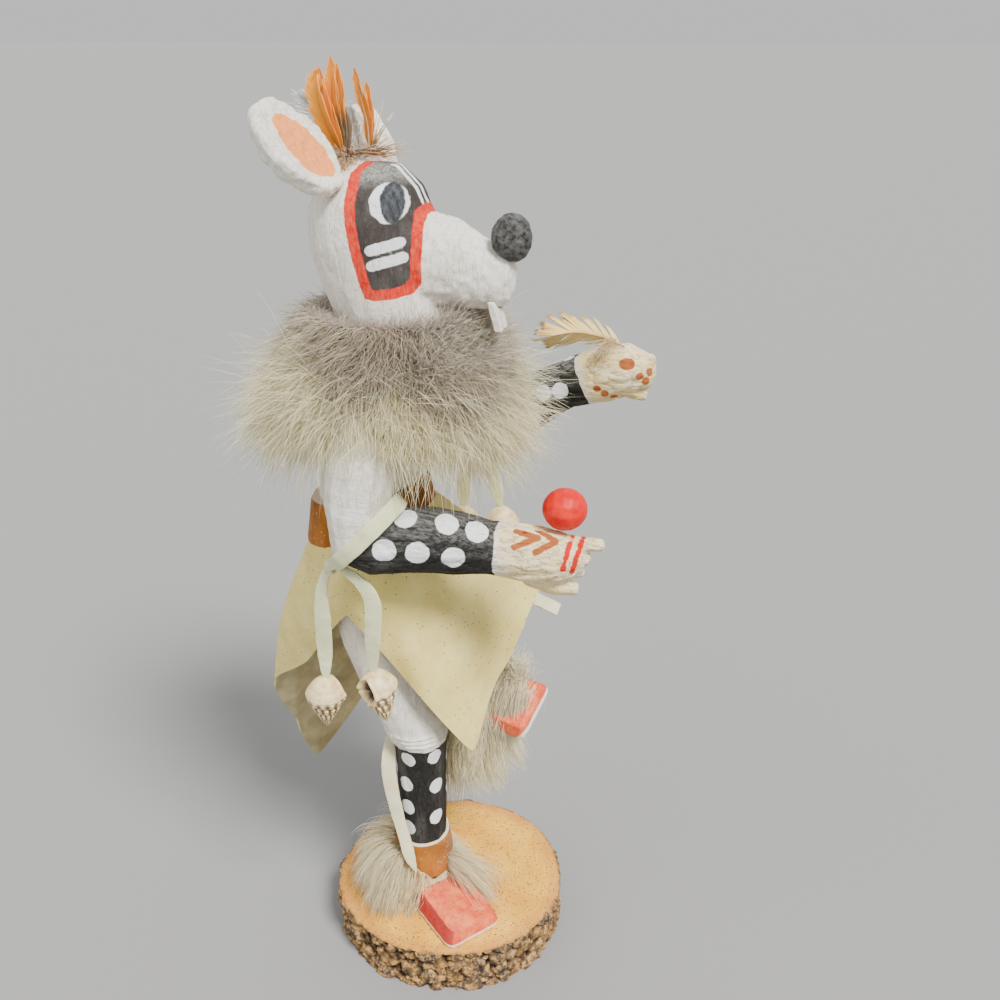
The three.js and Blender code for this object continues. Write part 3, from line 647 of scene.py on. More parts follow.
ears = {
    # centre, way up, way it faces, then degrees turned round its length and the shift that seats it
    "right_ear": ("rightEar", (-18.9, 27.7, 252), (-0.12, 0.66, 0.74), (-0.72, -0.55, 0.42), 30, (0, 0, 0)),
    "left_ear": ("leftEar", (12.6, 23.1, 253.5), (0.3, 0.5, 0.82), (0.45, -0.85, 0.25), 24, (0, -1.2, -5)),
}
earPink = {"halfLong": 9.6, "halfWide": 5.2, "centre": (-0.9, -0.7)}
for nodeName, (pieceName, centre, along, facing, degrees, shift) in ears.items():
    ear = carved(nodeName, pieceName, 0.5, 3, shake=0.3, grain=(3, 3, 3), shakeSeed=20)
    at = points(ear) - np.array(centre)
    rough = 0.35 * wander(at, 1.6, 51) + 0.3 * wander(at, 3.4, 52)
    up = unit(along)
    swing = np.array(Matrix.Rotation(math.radians(degrees), 3, Vector(up)))
    at = (at + normals(ear) * rough[:, None]) @ swing.T + np.array(shift)
    place(ear, at + np.array(centre))
    facing = swing @ np.array(facing)
    out = unit(facing - np.dot(facing, up) * up)
    flat = np.stack([at @ np.cross(out, up), at @ up], axis=1)
    pink = oval(flat, earPink["centre"], (earPink["halfWide"], earPink["halfLong"]))
    store(ear, "pink", np.where(at @ out > 0.5, pink, unpainted))
    finished(ear, [nodeName], paintedMask)

for nodeName, pieceName in {"right_tooth": "rightTooth", "left_tooth": "leftTooth"}.items():
    tooth = carved(nodeName, pieceName, 0.22, 3, shake=0.05, grain=(1, 1, 2))
    finished(tooth, [nodeName], paintedMask)


def plainPaint(name, first, second, roughness, scale, relief, **sockets):
    finish, tree, shader = newFinish(name, roughness, **sockets)
    patchy = speckle(tree, (1, 1, 1), scale, 5)
    colour = mottled(tree, first, second, patchy, 0.35, 0.68)
    tree.links.new(colour, shader.inputs["Base Color"])
    bump(tree, shader, speckle(tree, (1, 1, 1), scale * 3, 5, 0.7), relief)
    return finish


nose = carved("nose_tip", "noseTip", 0.4, 3, shake=0.35, grain=(3, 3, 3), shakeSeed=31)
finished(nose, ["nose_tip"],
         plainPaint("nosePaint", srgb(0.12, 0.118, 0.115), srgb(0.44, 0.435, 0.42), 0.5, 0.7, 0.6))
bead = carved("red_bead", "redBead", 0.35, 6, shake=0.05, grain=(2, 2, 6), shakeSeed=33)
beadFinish = plainPaint("beadRed", srgb(0.80, 0.05, 0.05), srgb(0.92, 0.16, 0.11), 0.42, 0.3, 0.05,
                        Subsurface_Weight=0.15, Subsurface_Scale=0.002)
finished(bead, ["red_bead"], beadFinish)
print("ears, teeth, nose and bead made")


def moccasinFinish():
    finish, tree, shader = newFinish("moccasinPaint", roughness=0.75)
    patchy = speckle(tree, (1, 1, 1), 0.2, 5)
    fine = speckle(tree, (1, 1, 1), 1.1, 5, 0.7)
    colour = mottled(tree, srgb(0.90, 0.35, 0.23), srgb(0.98, 0.54, 0.34), patchy, 0.4, 0.62)
    colour = mottled(tree, colour, srgb(0.93, 0.60, 0.50), fine, 0.60, 0.72, 0.5)
    # the sides turned to -x and +y are painted darker red: painted shade
    shadedRed = blend(tree, patchy, srgb(0.66, 0.15, 0.14), srgb(0.82, 0.30, 0.26))
    colour = blend(tree, layer(tree, "shadedSide"), colour, shadedRed)
    colour = mottled(tree, colour, srgb(0.45, 0.12, 0.10), fine, 0.42, 0.36, 0.55)
    colour = painted(tree, "stripe", colour, paint["white"], wobble=wavering(tree, 0.6, 0.5))
    tree.links.new(colour, shader.inputs["Base Color"])
    bump(tree, shader, speckle(tree, (1, 1, 1), 0.8, 6, 0.7), 0.45)
    return finish


shoePaint = moccasinFinish()
shoe = carved("right_moccasin", "rightMoccasin", 0.42, 2, shake=0.16, grain=(4, 4, 3), shakeSeed=40)
at, out = points(shoe), normals(shoe)
# side faces turned to -x and +y get the painted shade; tops and other sides don't
sideways = np.clip((out @ unit((-0.6, 0.75, 0)) - 0.12) / 0.25, 0, 1)
store(shoe, "shadedSide", np.clip((0.85 - out[:, 2]) / 0.3, 0, 1) * sideways)
lowEdge = at[:, 2].min() + 1.5
store(shoe, "stripe", np.where(out[:, 2] < 0.55, lowEdge - at[:, 2], unpainted))
finished(shoe, ["right_moccasin"], shoePaint)

shoe = carved("left_moccasin", "leftMoccasin", 0.42, 2, shake=0.16, grain=(4, 4, 3), shakeSeed=41)
at = points(shoe)
sole = {"plane": ((15, -24.4, 76.8), unit((0.1, -0.78, -0.62))), "thick": 1.5}  # shaved to a slant
shaved = beyond(at, sole["plane"])
place(shoe, at - np.maximum(shaved, 0)[:, None] * sole["plane"][1])
store(shoe, "shadedSide", np.zeros(len(at)))
store(shoe, "stripe", shaved + sole["thick"])
finished(shoe, ["left_moccasin"], shoePaint)

# the slice of branch
stand = np.array([-3.4, -0.9, -4.0])  # where the figure stands on the slice
branch = {
    "radius": 37.4, "narrower": 0.037, "height": 16.0, "barkDeep": 2.6, "around": 330, "rows": 66,
    "sideFrom": 0.972, "barkFrom": 0.955,  # shares of the radius
    "flake": (7.0, 7.0, 3.8), "fineFlake": (1.7, 1.7, 2.2),
    "furRest": 16.3,  # hairs reach down to this height only
}


def posed(stations):
    return np.array(stations, float) + stand


def branchRim(angle):
    uneven = 0.01 * np.sin(3 * angle + 2) + 0.006 * np.sin(7 * angle)
    return branch["radius"] * (1 - branch["narrower"] * np.cos(2 * angle - 0.5) + uneven)


def branchShape(u, v):
    # v climbs from the middle of the underside, up the bark, to the middle of the top
    angle = 2 * math.pi * u
    low, high = 4 / branch["rows"], 34 / branch["rows"]
    reach = np.where(v < low, v / low, np.where(v < high, 1, (1 - v) / (1 - high)))
    height = np.clip((v - low) / (high - low), 0, 1) * branch["height"]
    radius = branchRim(angle) * reach
    return np.stack([radius * np.cos(angle), radius * np.sin(angle), height], axis=1)


slab = wrapped("branchSlice", branch["around"], branch["rows"], branchShape)
at = points(slab)
angle = np.arctan2(at[:, 1], at[:, 0])
reach = np.hypot(at[:, 0], at[:, 1]) / branchRim(angle)
onSide = np.clip((reach - branch["sideFrom"]) / (1 - branch["sideFrom"]), 0, 1)
bent = at + 1.1 * np.stack([wander(at, 2.2, 50 + i) for i in range(3)], axis=1)
bent += 2.2 * np.stack([wander(at, 6, 53 + i) for i in range(3)], axis=1)
crack, lump = chunks(bent, branch["flake"], 1)
fineCrack = chunks(at, branch["fineFlake"], 2)[0]
scale = np.clip(crack * 4.4, 0, 1) ** 0.6 * (0.45 + 0.55 * lump)
scale += 0.2 * (np.clip(fineCrack * 3, 0, 1) - 1)
inward = onSide * branch["barkDeep"] * (1 - np.clip(scale, -0.2, 1))
outward = np.stack([np.cos(angle), np.sin(angle), np.zeros(len(at))], axis=1)
shaped = at - outward * inward[:, None]
top = at[:, 2] > branch["height"] - 0.01
edge = np.clip((reach - 0.93) / 0.07, 0, 1)
sawMarks = 0.10 * (wander(at, (5, 40, 5), 4) + 1) + 0.05 * (wander(at, 1.6, 5) + 1)
shaped[:, 2] -= np.where(top, edge * 0.9 * (1 - lump * 0.8) + sawMarks, 0)
place(slab, shaped)
rimBark = (reach - branch["barkFrom"]) / 0.02 + 0.5 * wander(at, 2.4, 6)
store(slab, "barky", np.where(top, np.clip(rimBark, 0, 1), 1))
store(slab, "reach", reach)
store(slab, "deep", np.clip(scale, 0, 1))
store(slab, "lump", lump)


def branchFinish():
    finish, tree, shader = newFinish("branchWood", roughness=0.62)
    reachFac = layer(tree, "reach")
    waver = speckle(tree, (1, 1, 1), 0.05, 3)
    ringed = maths(tree, "MULTIPLY_ADD", reachFac, 34.0)
    tree.links.new(times(tree, waver, 9.0), ringed.node.inputs[2])
    ring = maths(tree, "POWER", maths(tree, "FRACT", ringed, 0.0), 2.2)
    sawn = speckle(tree, (0.2, 1, 1), 0.5, 3)
    patchy = speckle(tree, (1, 1, 1), 0.07, 4)
    fibre = speckle(tree, (1, 1, 0.2), 1.4, 4)
    wood = mottled(tree, srgb(0.86, 0.60, 0.18), srgb(0.99, 0.77, 0.32), patchy, 0.3, 0.7)
    wood = mottled(tree, wood, srgb(0.66, 0.42, 0.15), ring, 0.2, 1, 0.32)
    wood = mottled(tree, wood, srgb(1.0, 0.82, 0.44), sawn, 0.55, 0.8, 0.3)
    wood = mottled(tree, wood, srgb(0.62, 0.40, 0.22), fibre, 0.6, 0.8, 0.3)
    pores = cells(tree, 0.95)
    wood = mottled(tree, wood, srgb(0.26, 0.13, 0.06), pores, 0.27, 0.14, 0.85)
    pinkish = remap(tree, maths(tree, "ADD", reachFac, times(tree, waver, 0.06)), 0.87, 0.93)
    wood = blend(tree, times(tree, pinkish, 0.4), wood, srgb(0.74, 0.46, 0.30))
    deep = layer(tree, "deep")
    bark = blend(tree, layer(tree, "lump"), srgb(0.56, 0.42, 0.25), srgb(0.30, 0.26, 0.23))
    crust = speckle(tree, (1, 1, 1), 0.45, 6, 0.7)
    bark = mottled(tree, bark, srgb(0.78, 0.61, 0.37), crust, 0.47, 0.6)
    bark = mottled(tree, bark, srgb(0.17, 0.13, 0.11), crust, 0.44, 0.34)
    # near black in the bark's cracks: painted shade
    bark = mottled(tree, bark, srgb(0.06, 0.045, 0.035), deep, 0.42, 0.08)
    colour = blend(tree, layer(tree, "barky"), wood, bark)
    tree.links.new(colour, shader.inputs["Base Color"])
    rough = bump(tree, shader, crust, 0.35)
    bump(tree, shader, maths(tree, "ADD", remap(tree, pores, 0.1, 0.25), fibre), 0.12, 0.7, rough)
    return finish


finished(slab, ["tree_slice_base"], branchFinish(), smooth=70)
print("branch slice made")


# suede
def suedeFinish(name, light, dark, speck=0.5, inside=None, cutEdge=None):
    finish, tree, shader = newFinish(name, roughness=0.95, Sheen_Weight=0.1, Sheen_Roughness=0.5)
    shader.inputs["Specular IOR Level"].default_value = 0.1
    cloudy = speckle(tree, (1, 1, 1), 0.09, 5, 0.6)
    nap = speckle(tree, (1, 1, 1), 2.6, 3, 0.7)
    stain = speckle(tree, (1, 1, 0.6), 0.3, 4)
    colour = mottled(tree, light, dark, cloudy, 0.35, 0.7)
    colour = mottled(tree, colour, dark, nap, 0.35, 0.75, 0.5)
    colour = mottled(tree, colour, tuple(0.75 * c for c in dark[:3]) + (1,), stain, 0.56, 0.74, 0.16)
    dots = cells(tree, 0.52)
    colour = mottled(tree, colour, srgb(0.97, 0.93, 0.80), dots, 0.24, 0.17, speck * 0.35)
    colour = mottled(tree, colour, srgb(0.32, 0.22, 0.12), dots, 0.15, 0.09, speck)
    if inside is not None:
        # the kilt's inner face is painted darker: painted shade
        shadedInside = mottled(tree, inside, srgb(0.86, 0.82, 0.64), cloudy, 0.4, 0.7)
        colour = blend(tree, layer(tree, "inside"), colour, shadedInside)
    if cutEdge is not None:
        colour = blend(tree, layer(tree, "cutEdge"), colour, cutEdge)
    tree.links.new(colour, shader.inputs["Base Color"])
    bump(tree, shader, nap, 0.22)
    return finish


# the inside colour is the painted shade of the kilt's inner face
creamSuede = suedeFinish("creamSuede", srgb(0.98, 0.92, 0.60), srgb(0.90, 0.81, 0.47), 0.9,
                         inside=srgb(0.66, 0.62, 0.47), cutEdge=srgb(0.66, 0.58, 0.42))
brownSuede = suedeFinish("brownSuede", srgb(0.77, 0.48, 0.17), srgb(0.48, 0.28, 0.09), 0.8,
                         cutEdge=srgb(0.90, 0.84, 0.72))
thongSuede = suedeFinish("thongSuede", srgb(0.95, 0.96, 0.78), srgb(0.83, 0.84, 0.66), 0.3,
                         cutEdge=srgb(0.88, 0.85, 0.76))
tieSuede = suedeFinish("tieSuede", srgb(0.93, 0.91, 0.76), srgb(0.83, 0.79, 0.62), 0.3)

kilt = {
    "waist": (0, 21, 154.8), "radiusX": 18.2, "radiusY": 18.6, "slant": -0.37, "bulge": 2.6, "thick": 1.0,
    "around": 264, "rows": 74, "pull": 0.35, "sharpPull": {0: 0.1, 4: 0.2, 10: 0.2},
    "hem": [(-20.5, 21.5, 133.5), (-9, 42, 106.5), (4, 60.4, 87.4), (14, 60, 64), (22, 57, 44.4),
            (34, 42.4, 66), (38, 18, 98), (44, -14, 104), (19, -25, 127.5), (5, -16.5, 106),
            (-11, -11.6, 85.6), (-19, 4.5, 112)],
}


def hemAt(t):
    hem = np.array(kilt["hem"], float)
    count = len(hem)
    spot = (t % 1) * count
    first = np.minimum(spot.astype(int), count - 1)
    part = (spot - first)[:, None]
    a, b, c, d = (hem[(first + step) % count] for step in (-1, 0, 1, 2))
    pulls = np.array([kilt["sharpPull"].get(i, kilt["pull"]) for i in range(count)])
    leave = pulls[first][:, None] * (c - a)
    arrive = pulls[(first + 1) % count][:, None] * (d - b)
    return ((2 * part ** 3 - 3 * part ** 2 + 1) * b + (part ** 3 - 2 * part ** 2 + part) * leave
            + (3 * part ** 2 - 2 * part ** 3) * c + (part ** 3 - part ** 2) * arrive)


def kiltShape(u, v):
    down = 1 - v
    angle = 2 * math.pi * u
    out = np.stack([-kilt["radiusX"] * np.cos(angle), kilt["radiusY"] * np.sin(angle), 0 * u], axis=1)
    topEdge = np.array(kilt["waist"]) + out
    topEdge[:, 2] += kilt["slant"] * out[:, 1]
    where = topEdge + (hemAt(u) - topEdge) * down[:, None]
    swell = kilt["bulge"] * np.sin(math.pi * down)
    swell += down * (0.5 * np.sin(7 * angle + 1) + 0.35 * np.sin(13 * angle + 4 * down))
    where += unit(out) * swell[:, None]
    soft = 0.5 + 0.5 * wander(where, (11, 11, 30), 60)
    where += unit(out) * (down * 0.9 * soft + 0.12 * wander(where, 2.5, 61))[:, None]
    return where + stand


skirt = wrapped("suedeKilt", kilt["around"], kilt["rows"], kiltShape)
# the sheet's faces look outward before it is given its thickness
middle = np.array(kilt["waist"]) + stand
facing = ((points(skirt) - middle) * normals(skirt))[:, :2].sum()
if facing < 0:
    pickOnly(skirt)
    bpy.ops.object.mode_set(mode="EDIT")
    bpy.ops.mesh.select_all(action="SELECT")
    bpy.ops.mesh.flip_normals()
    bpy.ops.object.mode_set(mode="OBJECT")
outerCount = len(skirt.data.vertices)
flatArea = sum(face.area for face in skirt.data.polygons)
print("kilt's one side in square mm:", round(flatArea / mm ** 2))
modify(skirt, "SOLIDIFY", thickness=kilt["thick"] * mm, offset=-1, use_even_offset=False)
# 1 on the inner face, which takes the painted shade
inner = np.zeros(len(skirt.data.vertices))
inner[outerCount:] = 1
store(skirt, "inside", inner)
store(skirt, "cutEdge", np.zeros(len(inner)))
finished(skirt, ["suede_kilt"], creamSuede, smooth=60)
print("kilt made")


def tautRound(spots, angles):
    # how far a line pulled tight round the spots lies from the middle, in each direction
    order = spots[np.lexsort((spots[:, 1], spots[:, 0]))]
    hull = []
    for half in (order, order[::-1]):
        start = len(hull)
        for spot in half:
            while len(hull) >= start + 2:
                (ax, ay), (bx, by) = hull[-1] - hull[-2], spot - hull[-2]
                if ax * by - ay * bx > 0:
                    break
                hull.pop()
            hull.append(spot)
        hull.pop()
    hull = np.array(hull)
    edge = np.roll(hull, -1, axis=0) - hull
    out = unit(np.stack([edge[:, 1], -edge[:, 0]], axis=1))
    facing = np.stack([np.cos(angles), np.sin(angles)], axis=1) @ out.T
    reach = np.where(facing > 1e-3, (hull * out).sum(1) / np.maximum(facing, 1e-3), 99.0)
    return reach.min(axis=1)


def hoop(name, centre, up, first, radiusA, radiusB, wide, thick, slant=0.0, around=14, rows=120, soft=0.3,
         taper=0.0, over=None, reaching=None):
    # a strap closed into a ring; slant makes it climb along first; over is what it is pulled tight round,
    # with one more place that it reaches out to
    up = unit(up)
    first = np.array(first, float)
    a = unit(first - first @ up * up)
    b = np.cross(a, up)

    def shape(u, v):
        angle = 2 * math.pi * v
        x, y = band(u, wide, thick, soft)
        y = y + thick / 2 - taper * (x / wide + 0.5)
        reachA, reachB = radiusA, radiusB
        if over is not None:
            near = points(over) - np.array(centre)
            near = near[(np.abs(near @ up) < wide / 2) & (np.linalg.norm(near, axis=1) < 1.3 * radiusA)]
            spots = np.concatenate([near, [np.array(reaching) - np.array(centre)]])
            reachA = reachB = tautRound(np.stack([spots @ a, spots @ b], axis=1), angle) - thick / 2 + 0.5
        toA, toB = np.cos(angle) * (reachA + y), np.sin(angle) * (reachB + y)
        high = x + slant * toA
        return np.array(centre) + toA[:, None] * a + toB[:, None] * b + high[:, None] * up
    return wrapped(name, around, rows, shape)


def nap(piece, size, depth, seed):
    # a little unevenness all over
    at = points(piece)
    place(piece, at + normals(piece) * (depth * wander(at, size, seed))[:, None])


bands = {
    "waistBelt": {
        "node": "waist_belt", "centre": (0, 21, 159.4), "up": (0, 0, 1), "first": (0, 1, 0),
        "radii": (15.4, 15.0), "wide": 13, "thick": 3.6, "slant": -0.24, "taper": 2.2,
        "around": 40, "rows": 160, "cutFrom": 6.05, "cutOver": 0.25, "cutShare": 0.7, "bothEdges": True,
        "nap": (1.5, 0.12, 70),
    },
    "rightAnkleBand": {
        "node": "right_ankle_band", "centre": (-4, 7.8, 38), "up": (0, 0, 1), "first": (1, 0, 0),
        "radii": (7.3, 7.3), "wide": 13.4, "thick": 2.6, "slant": 0.04, "taper": 1.1,
        "around": 40, "rows": 110, "cutFrom": 6.3, "cutOver": 0.15, "cutShare": 1.0, "bothEdges": False,
        "nap": (1.4, 0.14, 71),
    },
    "leftAnkleBand": {
        "node": "left_ankle_band", "centre": (20.5, -6, 101.6), "up": (0, -0.5, 0.87), "first": (1, 0, 0),
        "radii": (7.2, 7.2), "wide": 8, "thick": 2.4, "slant": 0.0, "taper": 0.0,
        "around": 32, "rows": 110, "cutFrom": 3.3, "cutOver": 0.2, "cutShare": 1.0, "bothEdges": False,
        "nap": (1.4, 0.12, 72),
    },
}
for pieceName, item in bands.items():
    centre = posed(item["centre"])
    piece = hoop(pieceName, centre, item["up"], item["first"], *item["radii"], item["wide"], item["thick"],
                 slant=item["slant"], around=item["around"], rows=item["rows"], taper=item["taper"])
    at = points(piece) - centre
    level = at @ unit(item["up"]) - item["slant"] * (at @ np.array(item["first"]))
    if item["bothEdges"]:
        level = np.abs(level)
    store(piece, "cutEdge", np.clip((level - item["cutFrom"]) / item["cutOver"], 0, 1) * item["cutShare"])
    nap(piece, *item["nap"])
    finished(piece, [item["node"]], brownSuede)


def joined(parts, name):
    pickOnly(parts[0])
    for part in parts[1:]:
        part.select_set(True)
    bpy.ops.object.join()
    parts[0].name = parts[0].data.name = name
    return parts[0]


thongs = {
    "right": {
        "loop": ((-29.2, 9.6, 165.6), (0, 0.72, 0.69), (0.1, -0.69, 0.72), 12.2, 9.3),
        "knot": (-30, 20, 154.6),
        "tails": [[(-30.3, 20.6, 155.4), (-30.8, 23.6, 147), (-30.4, 24.2, 137), (-30, 24.6, 127),
                   (-30, 25, 118)],
                  [(-30.6, 18.9, 155), (-32.5, 11.8, 152), (-32.8, 8.4, 146.4), (-31.4, 9.6, 134),
                   (-30, 10.6, 122.8)]],
    },
    "left": {
        "loop": ((41.4, 1.5, 170.9), (0.42, -0.84, -0.35), (0.1, -0.4, 0.92), 11.4, 9.8),
        "knot": (41.5, 4.6, 158.6),
        "tails": [[(41.8, 5.5, 159), (42, 6, 150), (42, 6.3, 140.8)],
                  [(41.8, 3, 159), (42, -3.4, 153), (42.2, -6, 141.8)]],
    },
}
knotTurns = [((0.2, 0.9, 0.3), 2.0), ((0.9, 0.2, 0.5), 1.7), ((0.1, 0.4, 1), 1.8)]  # tilt and size
for whose, thong in thongs.items():
    centre, up, first, radiusA, radiusB = thong["loop"]
    parts = [hoop(whose + "Loop", posed(centre), up, first, radiusA, radiusB, 4.3, 1.0, soft=0.4,
                  over={"right": rightArm, "left": leftArm}[whose], reaching=posed(thong["knot"]))]
    for i, tail in enumerate(thong["tails"]):
        parts.append(strap(f"{whose}Tail{i}", posed(tail), 4.7, 1.0, (0, 1, 0), rows=90,
                           widths=(0.45, 0.6, 0.9, 1.0, 0.9, 0.4)))
    knot = posed(thong["knot"])
    for i, (tilt, size) in enumerate(knotTurns):
        parts.append(hoop(f"{whose}Knot{i}", knot, tilt, (0.3, 0.1, -1), size, size * 0.8, 1.9, 1.0,
                          rows=28, around=10, soft=0.6))
    thongPiece = joined(parts, whose + "ElbowThong")
    nap(thongPiece, 1.6, 0.12, 75)
    store(thongPiece, "cutEdge", np.zeros(len(thongPiece.data.vertices)))
    finished(thongPiece, [whose + "_elbow_thong"], thongSuede)

ties = {
    "right": {
        "stations": [(-5, 16, 84), (-8.5, 16, 79.5), (-12, 15.4, 73), (-13.6, 13.8, 65), (-13.8, 12.2, 56),
                     (-14.2, 10.4, 48.5), (-15.4, 8.4, 42), (-15.6, 6.4, 36.5)],
        "across": (0.3, -0.95, -0.15), "wide": 3.9,
        "widths": (0.5, 1.0, 1.15, 1.1, 1.0, 0.95, 0.9, 0.15),  # shares of the width from end to end
    },
    "left": {
        "stations": [(17, -19.4, 117.2), (17.6, -22.6, 123.4), (19.5, -26.6, 121.4), (21.2, -30.4, 118.8)],
        "across": (0.2, 0.5, 0.85), "wide": 4.0, "widths": (0.6, 1, 1, 1),
    },
}
for whose, item in ties.items():
    tie = strap(whose + "KneeTie", posed(item["stations"]), item["wide"], 1.1, item["across"], rows=80,
                widths=item["widths"])
    nap(tie, 1.5, 0.12, 77)
    finished(tie, [whose + "_knee_tie"], tieSuede)
print("belt, bands, thongs and ties made")


# shells
shell = {"long": 17.8, "radius": 5.7, "turns": 6.4, "ribs": 13, "mouthAt": 0.3, "mouthHalf": 0.14}
shells = {
    # its tied end, the way it hangs and how far it is spun round
    "right_outer_shell": ("rightOuterShell", (-30, 25.2, 118.2), (0.05, 0.06, -1), 2.2),
    "right_inner_shell": ("rightInnerShell", (-29.9, 10.8, 122.8), (0.08, -0.16, -1), -1.0),
    "left_outer_shell": ("leftOuterShell", (42, 6.3, 140.8), (0, 0.05, -1), 1.0),
    "left_inner_shell": ("leftInnerShell", (42.2, -6.2, 141.8), (0, -0.08, -1), 0.2),
}


def shellFinish():
    finish, tree, shader = newFinish("seaShell", roughness=0.4)
    shader.inputs["Specular IOR Level"].default_value = 0.4
    cloudy = speckle(tree, (1, 1, 1), 0.35, 4)
    colour = mottled(tree, srgb(0.98, 0.92, 0.72), srgb(0.84, 0.70, 0.48), cloudy, 0.35, 0.7)
    colour = blend(tree, layer(tree, "check"), colour, srgb(0.36, 0.24, 0.13))
    colour = blend(tree, layer(tree, "mouth"), colour, srgb(0.26, 0.09, 0.03))
    tree.links.new(colour, shader.inputs["Base Color"])
    bump(tree, shader, speckle(tree, (1, 1, 1), 1.4, 4), 0.1)
    return finish


def shellField(u, v):
    # how far each place is into the mouth, and the beads and grooves of the spire
    fromMouth = np.abs((u - 0.25 + 0.5) % 1 - 0.5) / shell["mouthHalf"]
    mouth = np.clip(1.15 - np.hypot(fromMouth, (v - shell["mouthAt"]) / 0.24), 0, 1)
    whorl = (v ** 0.85 * shell["turns"] + u) % 1.0
    groove = np.clip(1 - np.minimum(whorl, 1 - whorl) / 0.2, 0, 1)
    row = np.floor(v ** 0.85 * shell["turns"] + u)
    bead = 0.5 + 0.5 * np.cos(shell["ribs"] * 2 * math.pi * u + 2.2 * row)
    spire = np.clip((v - 0.3) / 0.08, 0, 1)
    return mouth, groove, bead, spire


seaShell = shellFinish()
for nodeName, (pieceName, topAt, down, spin) in shells.items():
    axis = unit(down)
    side = unit(np.cross((0, 1, 0), axis))
    front = np.cross(axis, side)

    def shellShape(u, v):
        # v runs from the tied end to the spire's tip
        angle = 2 * math.pi * u
        mouth, groove, bead, spire = shellField(u, v)
        grown = np.clip(v / 0.3, 0, 1) ** 0.5 * np.clip((1 - v) / 0.66, 0, 1) ** 0.82
        lip = np.exp(-((mouth - 0.14) / 0.1) ** 2) * 0.07
        radius = shell["radius"] * grown * (1 - spire * (0.17 * groove + 0.07 * (1 - bead)) + lip
                                            - 0.8 * np.clip((mouth - 0.2) * 2.4, 0, 1))
        x, y = radius * np.cos(angle + spin), radius * np.sin(angle + spin)
        hung = np.array(topAt) + stand + (v * shell["long"])[:, None] * axis
        return hung + x[:, None] * side + y[:, None] * front
    piece = wrapped(pieceName, 117, 76, shellShape)
    at = points(piece) - np.array(topAt) - stand
    v = np.clip(at @ axis / shell["long"], 0, 1)
    u = ((np.arctan2(at @ front, at @ side) - spin) / (2 * math.pi)) % 1.0
    mouth, groove, bead, spire = shellField(u, v)
    dark = np.clip(2.4 * (1 - bead) - 0.9, 0, 1) * np.clip(1.2 - groove, 0, 1) + 0.3 * groove
    faint = 0.3 * np.exp(-((v - 0.26) / 0.035) ** 2) + 0.25 * np.exp(-((v - 0.15) / 0.02) ** 2)
    check = np.where(spire > 0, spire * dark, faint * (0.6 + 0.4 * wander(at, 1.5, 80)))
    store(piece, "check", np.clip(check * (1 - np.clip(mouth * 5, 0, 1)), 0, 0.9))
    store(piece, "mouth", np.clip((mouth - 0.28) * 6, 0, 1))
    finished(piece, [nodeName], seaShell, smooth=80)
print("shells made")


# feathers
def strandFinish(name, roughness=0.75, sheen=0.25, **sockets):
    finish, tree, shader = newFinish(name, roughness=roughness, Sheen_Weight=sheen, **sockets)
    tree.links.new(layer(tree, "strandTint", "Color"), shader.inputs["Base Color"])
    return finish


featherBarbs = strandFinish("featherBarbs", 0.6, 0.3)
shaftFinish = plainPaint("featherShaft", srgb(0.90, 0.80, 0.60), srgb(0.80, 0.64, 0.40), 0.5, 0.6, 0.05)


def toneRamp(stops, t):
    # colours between stops (place, colour), for shares t of any shape
    spots = [stop[0] for stop in stops]
    return np.stack([np.interp(t, spots, [stop[1][i] for stop in stops]) for i in range(3)], axis=-1)


def barbed(name, spine, across, reachUp, reachDown, tones, barbs=150, lean=0.6, split=5.0, cup=0.0, seed=3,
           barbRadius=0.2, rootAt=0.06, jagged=0.22):
    # a feather: barbs stand off both sides of a shaft; reachUp and reachDown are how far, from root to tip
    rows = []
    roll = np.random.default_rng(seed)
    steps = np.linspace(0, 1, 6)
    for sign, reach in ((1, reachUp), (-1, reachDown)):
        t = np.linspace(rootAt, 1, barbs)
        root = curve(spine, t)
        along = unit(curve(spine, t + 0.02) - curve(spine, t - 0.02))
        sideways = np.array(across, float)
        sideways = unit(sideways - (along @ sideways)[:, None] * along)
        out = np.cross(along, sideways)
        clump = np.floor(t * barbs / split)
        seeds = clump * 0 + seed
        jag = 1 - jagged + jagged * hashed(np.stack([clump, clump + sign, seeds], axis=1))
        jag *= roll.uniform(0.93, 1.03, barbs)
        lift = lean + 0.75 * jagged * (hashed(np.stack([clump + 5, clump, seeds], axis=1), 3.0) - 0.5)
        lift = lift * np.interp(t, [0, 0.75, 1], [1.25, 1, 0.25])
        long = np.interp(t, np.linspace(0, 1, len(reach)), reach) * jag
        turned = lift[:, None] * (1 - 0.35 * steps[None, :])
        onward = np.cumsum(np.cos(turned), axis=1) - np.cos(turned[:, :1])
        away = np.cumsum(np.sin(turned), axis=1) - np.sin(turned[:, :1])
        length = long[:, None] / 5
        curl = cup * (steps[None, :] ** 2) * long[:, None]
        lying = along[:, None] * (onward * length)[:, :, None]
        standing = sideways[:, None] * (sign * away * length)[:, :, None]
        rows.append((root[:, None] + lying + standing + out[:, None] * curl[:, :, None], t, out))
    paths, t, out = (np.concatenate(column) for column in zip(*rows))
    radii = barbRadius * np.interp(steps, [0, 0.5, 1], [0.9, 1, 0.5])[None, :] * np.ones((len(paths), 1))
    toneAt = t[:, None] * 0.75 + steps[None, :] * 0.25
    tints = toneRamp(tones, toneAt) * roll.uniform(0.86, 1.08, (len(paths), 1, 1))
    return strands(name, paths, radii, tints, np.cross(out, unit(paths[:, 1] - paths[:, 0])), flat=0.45)


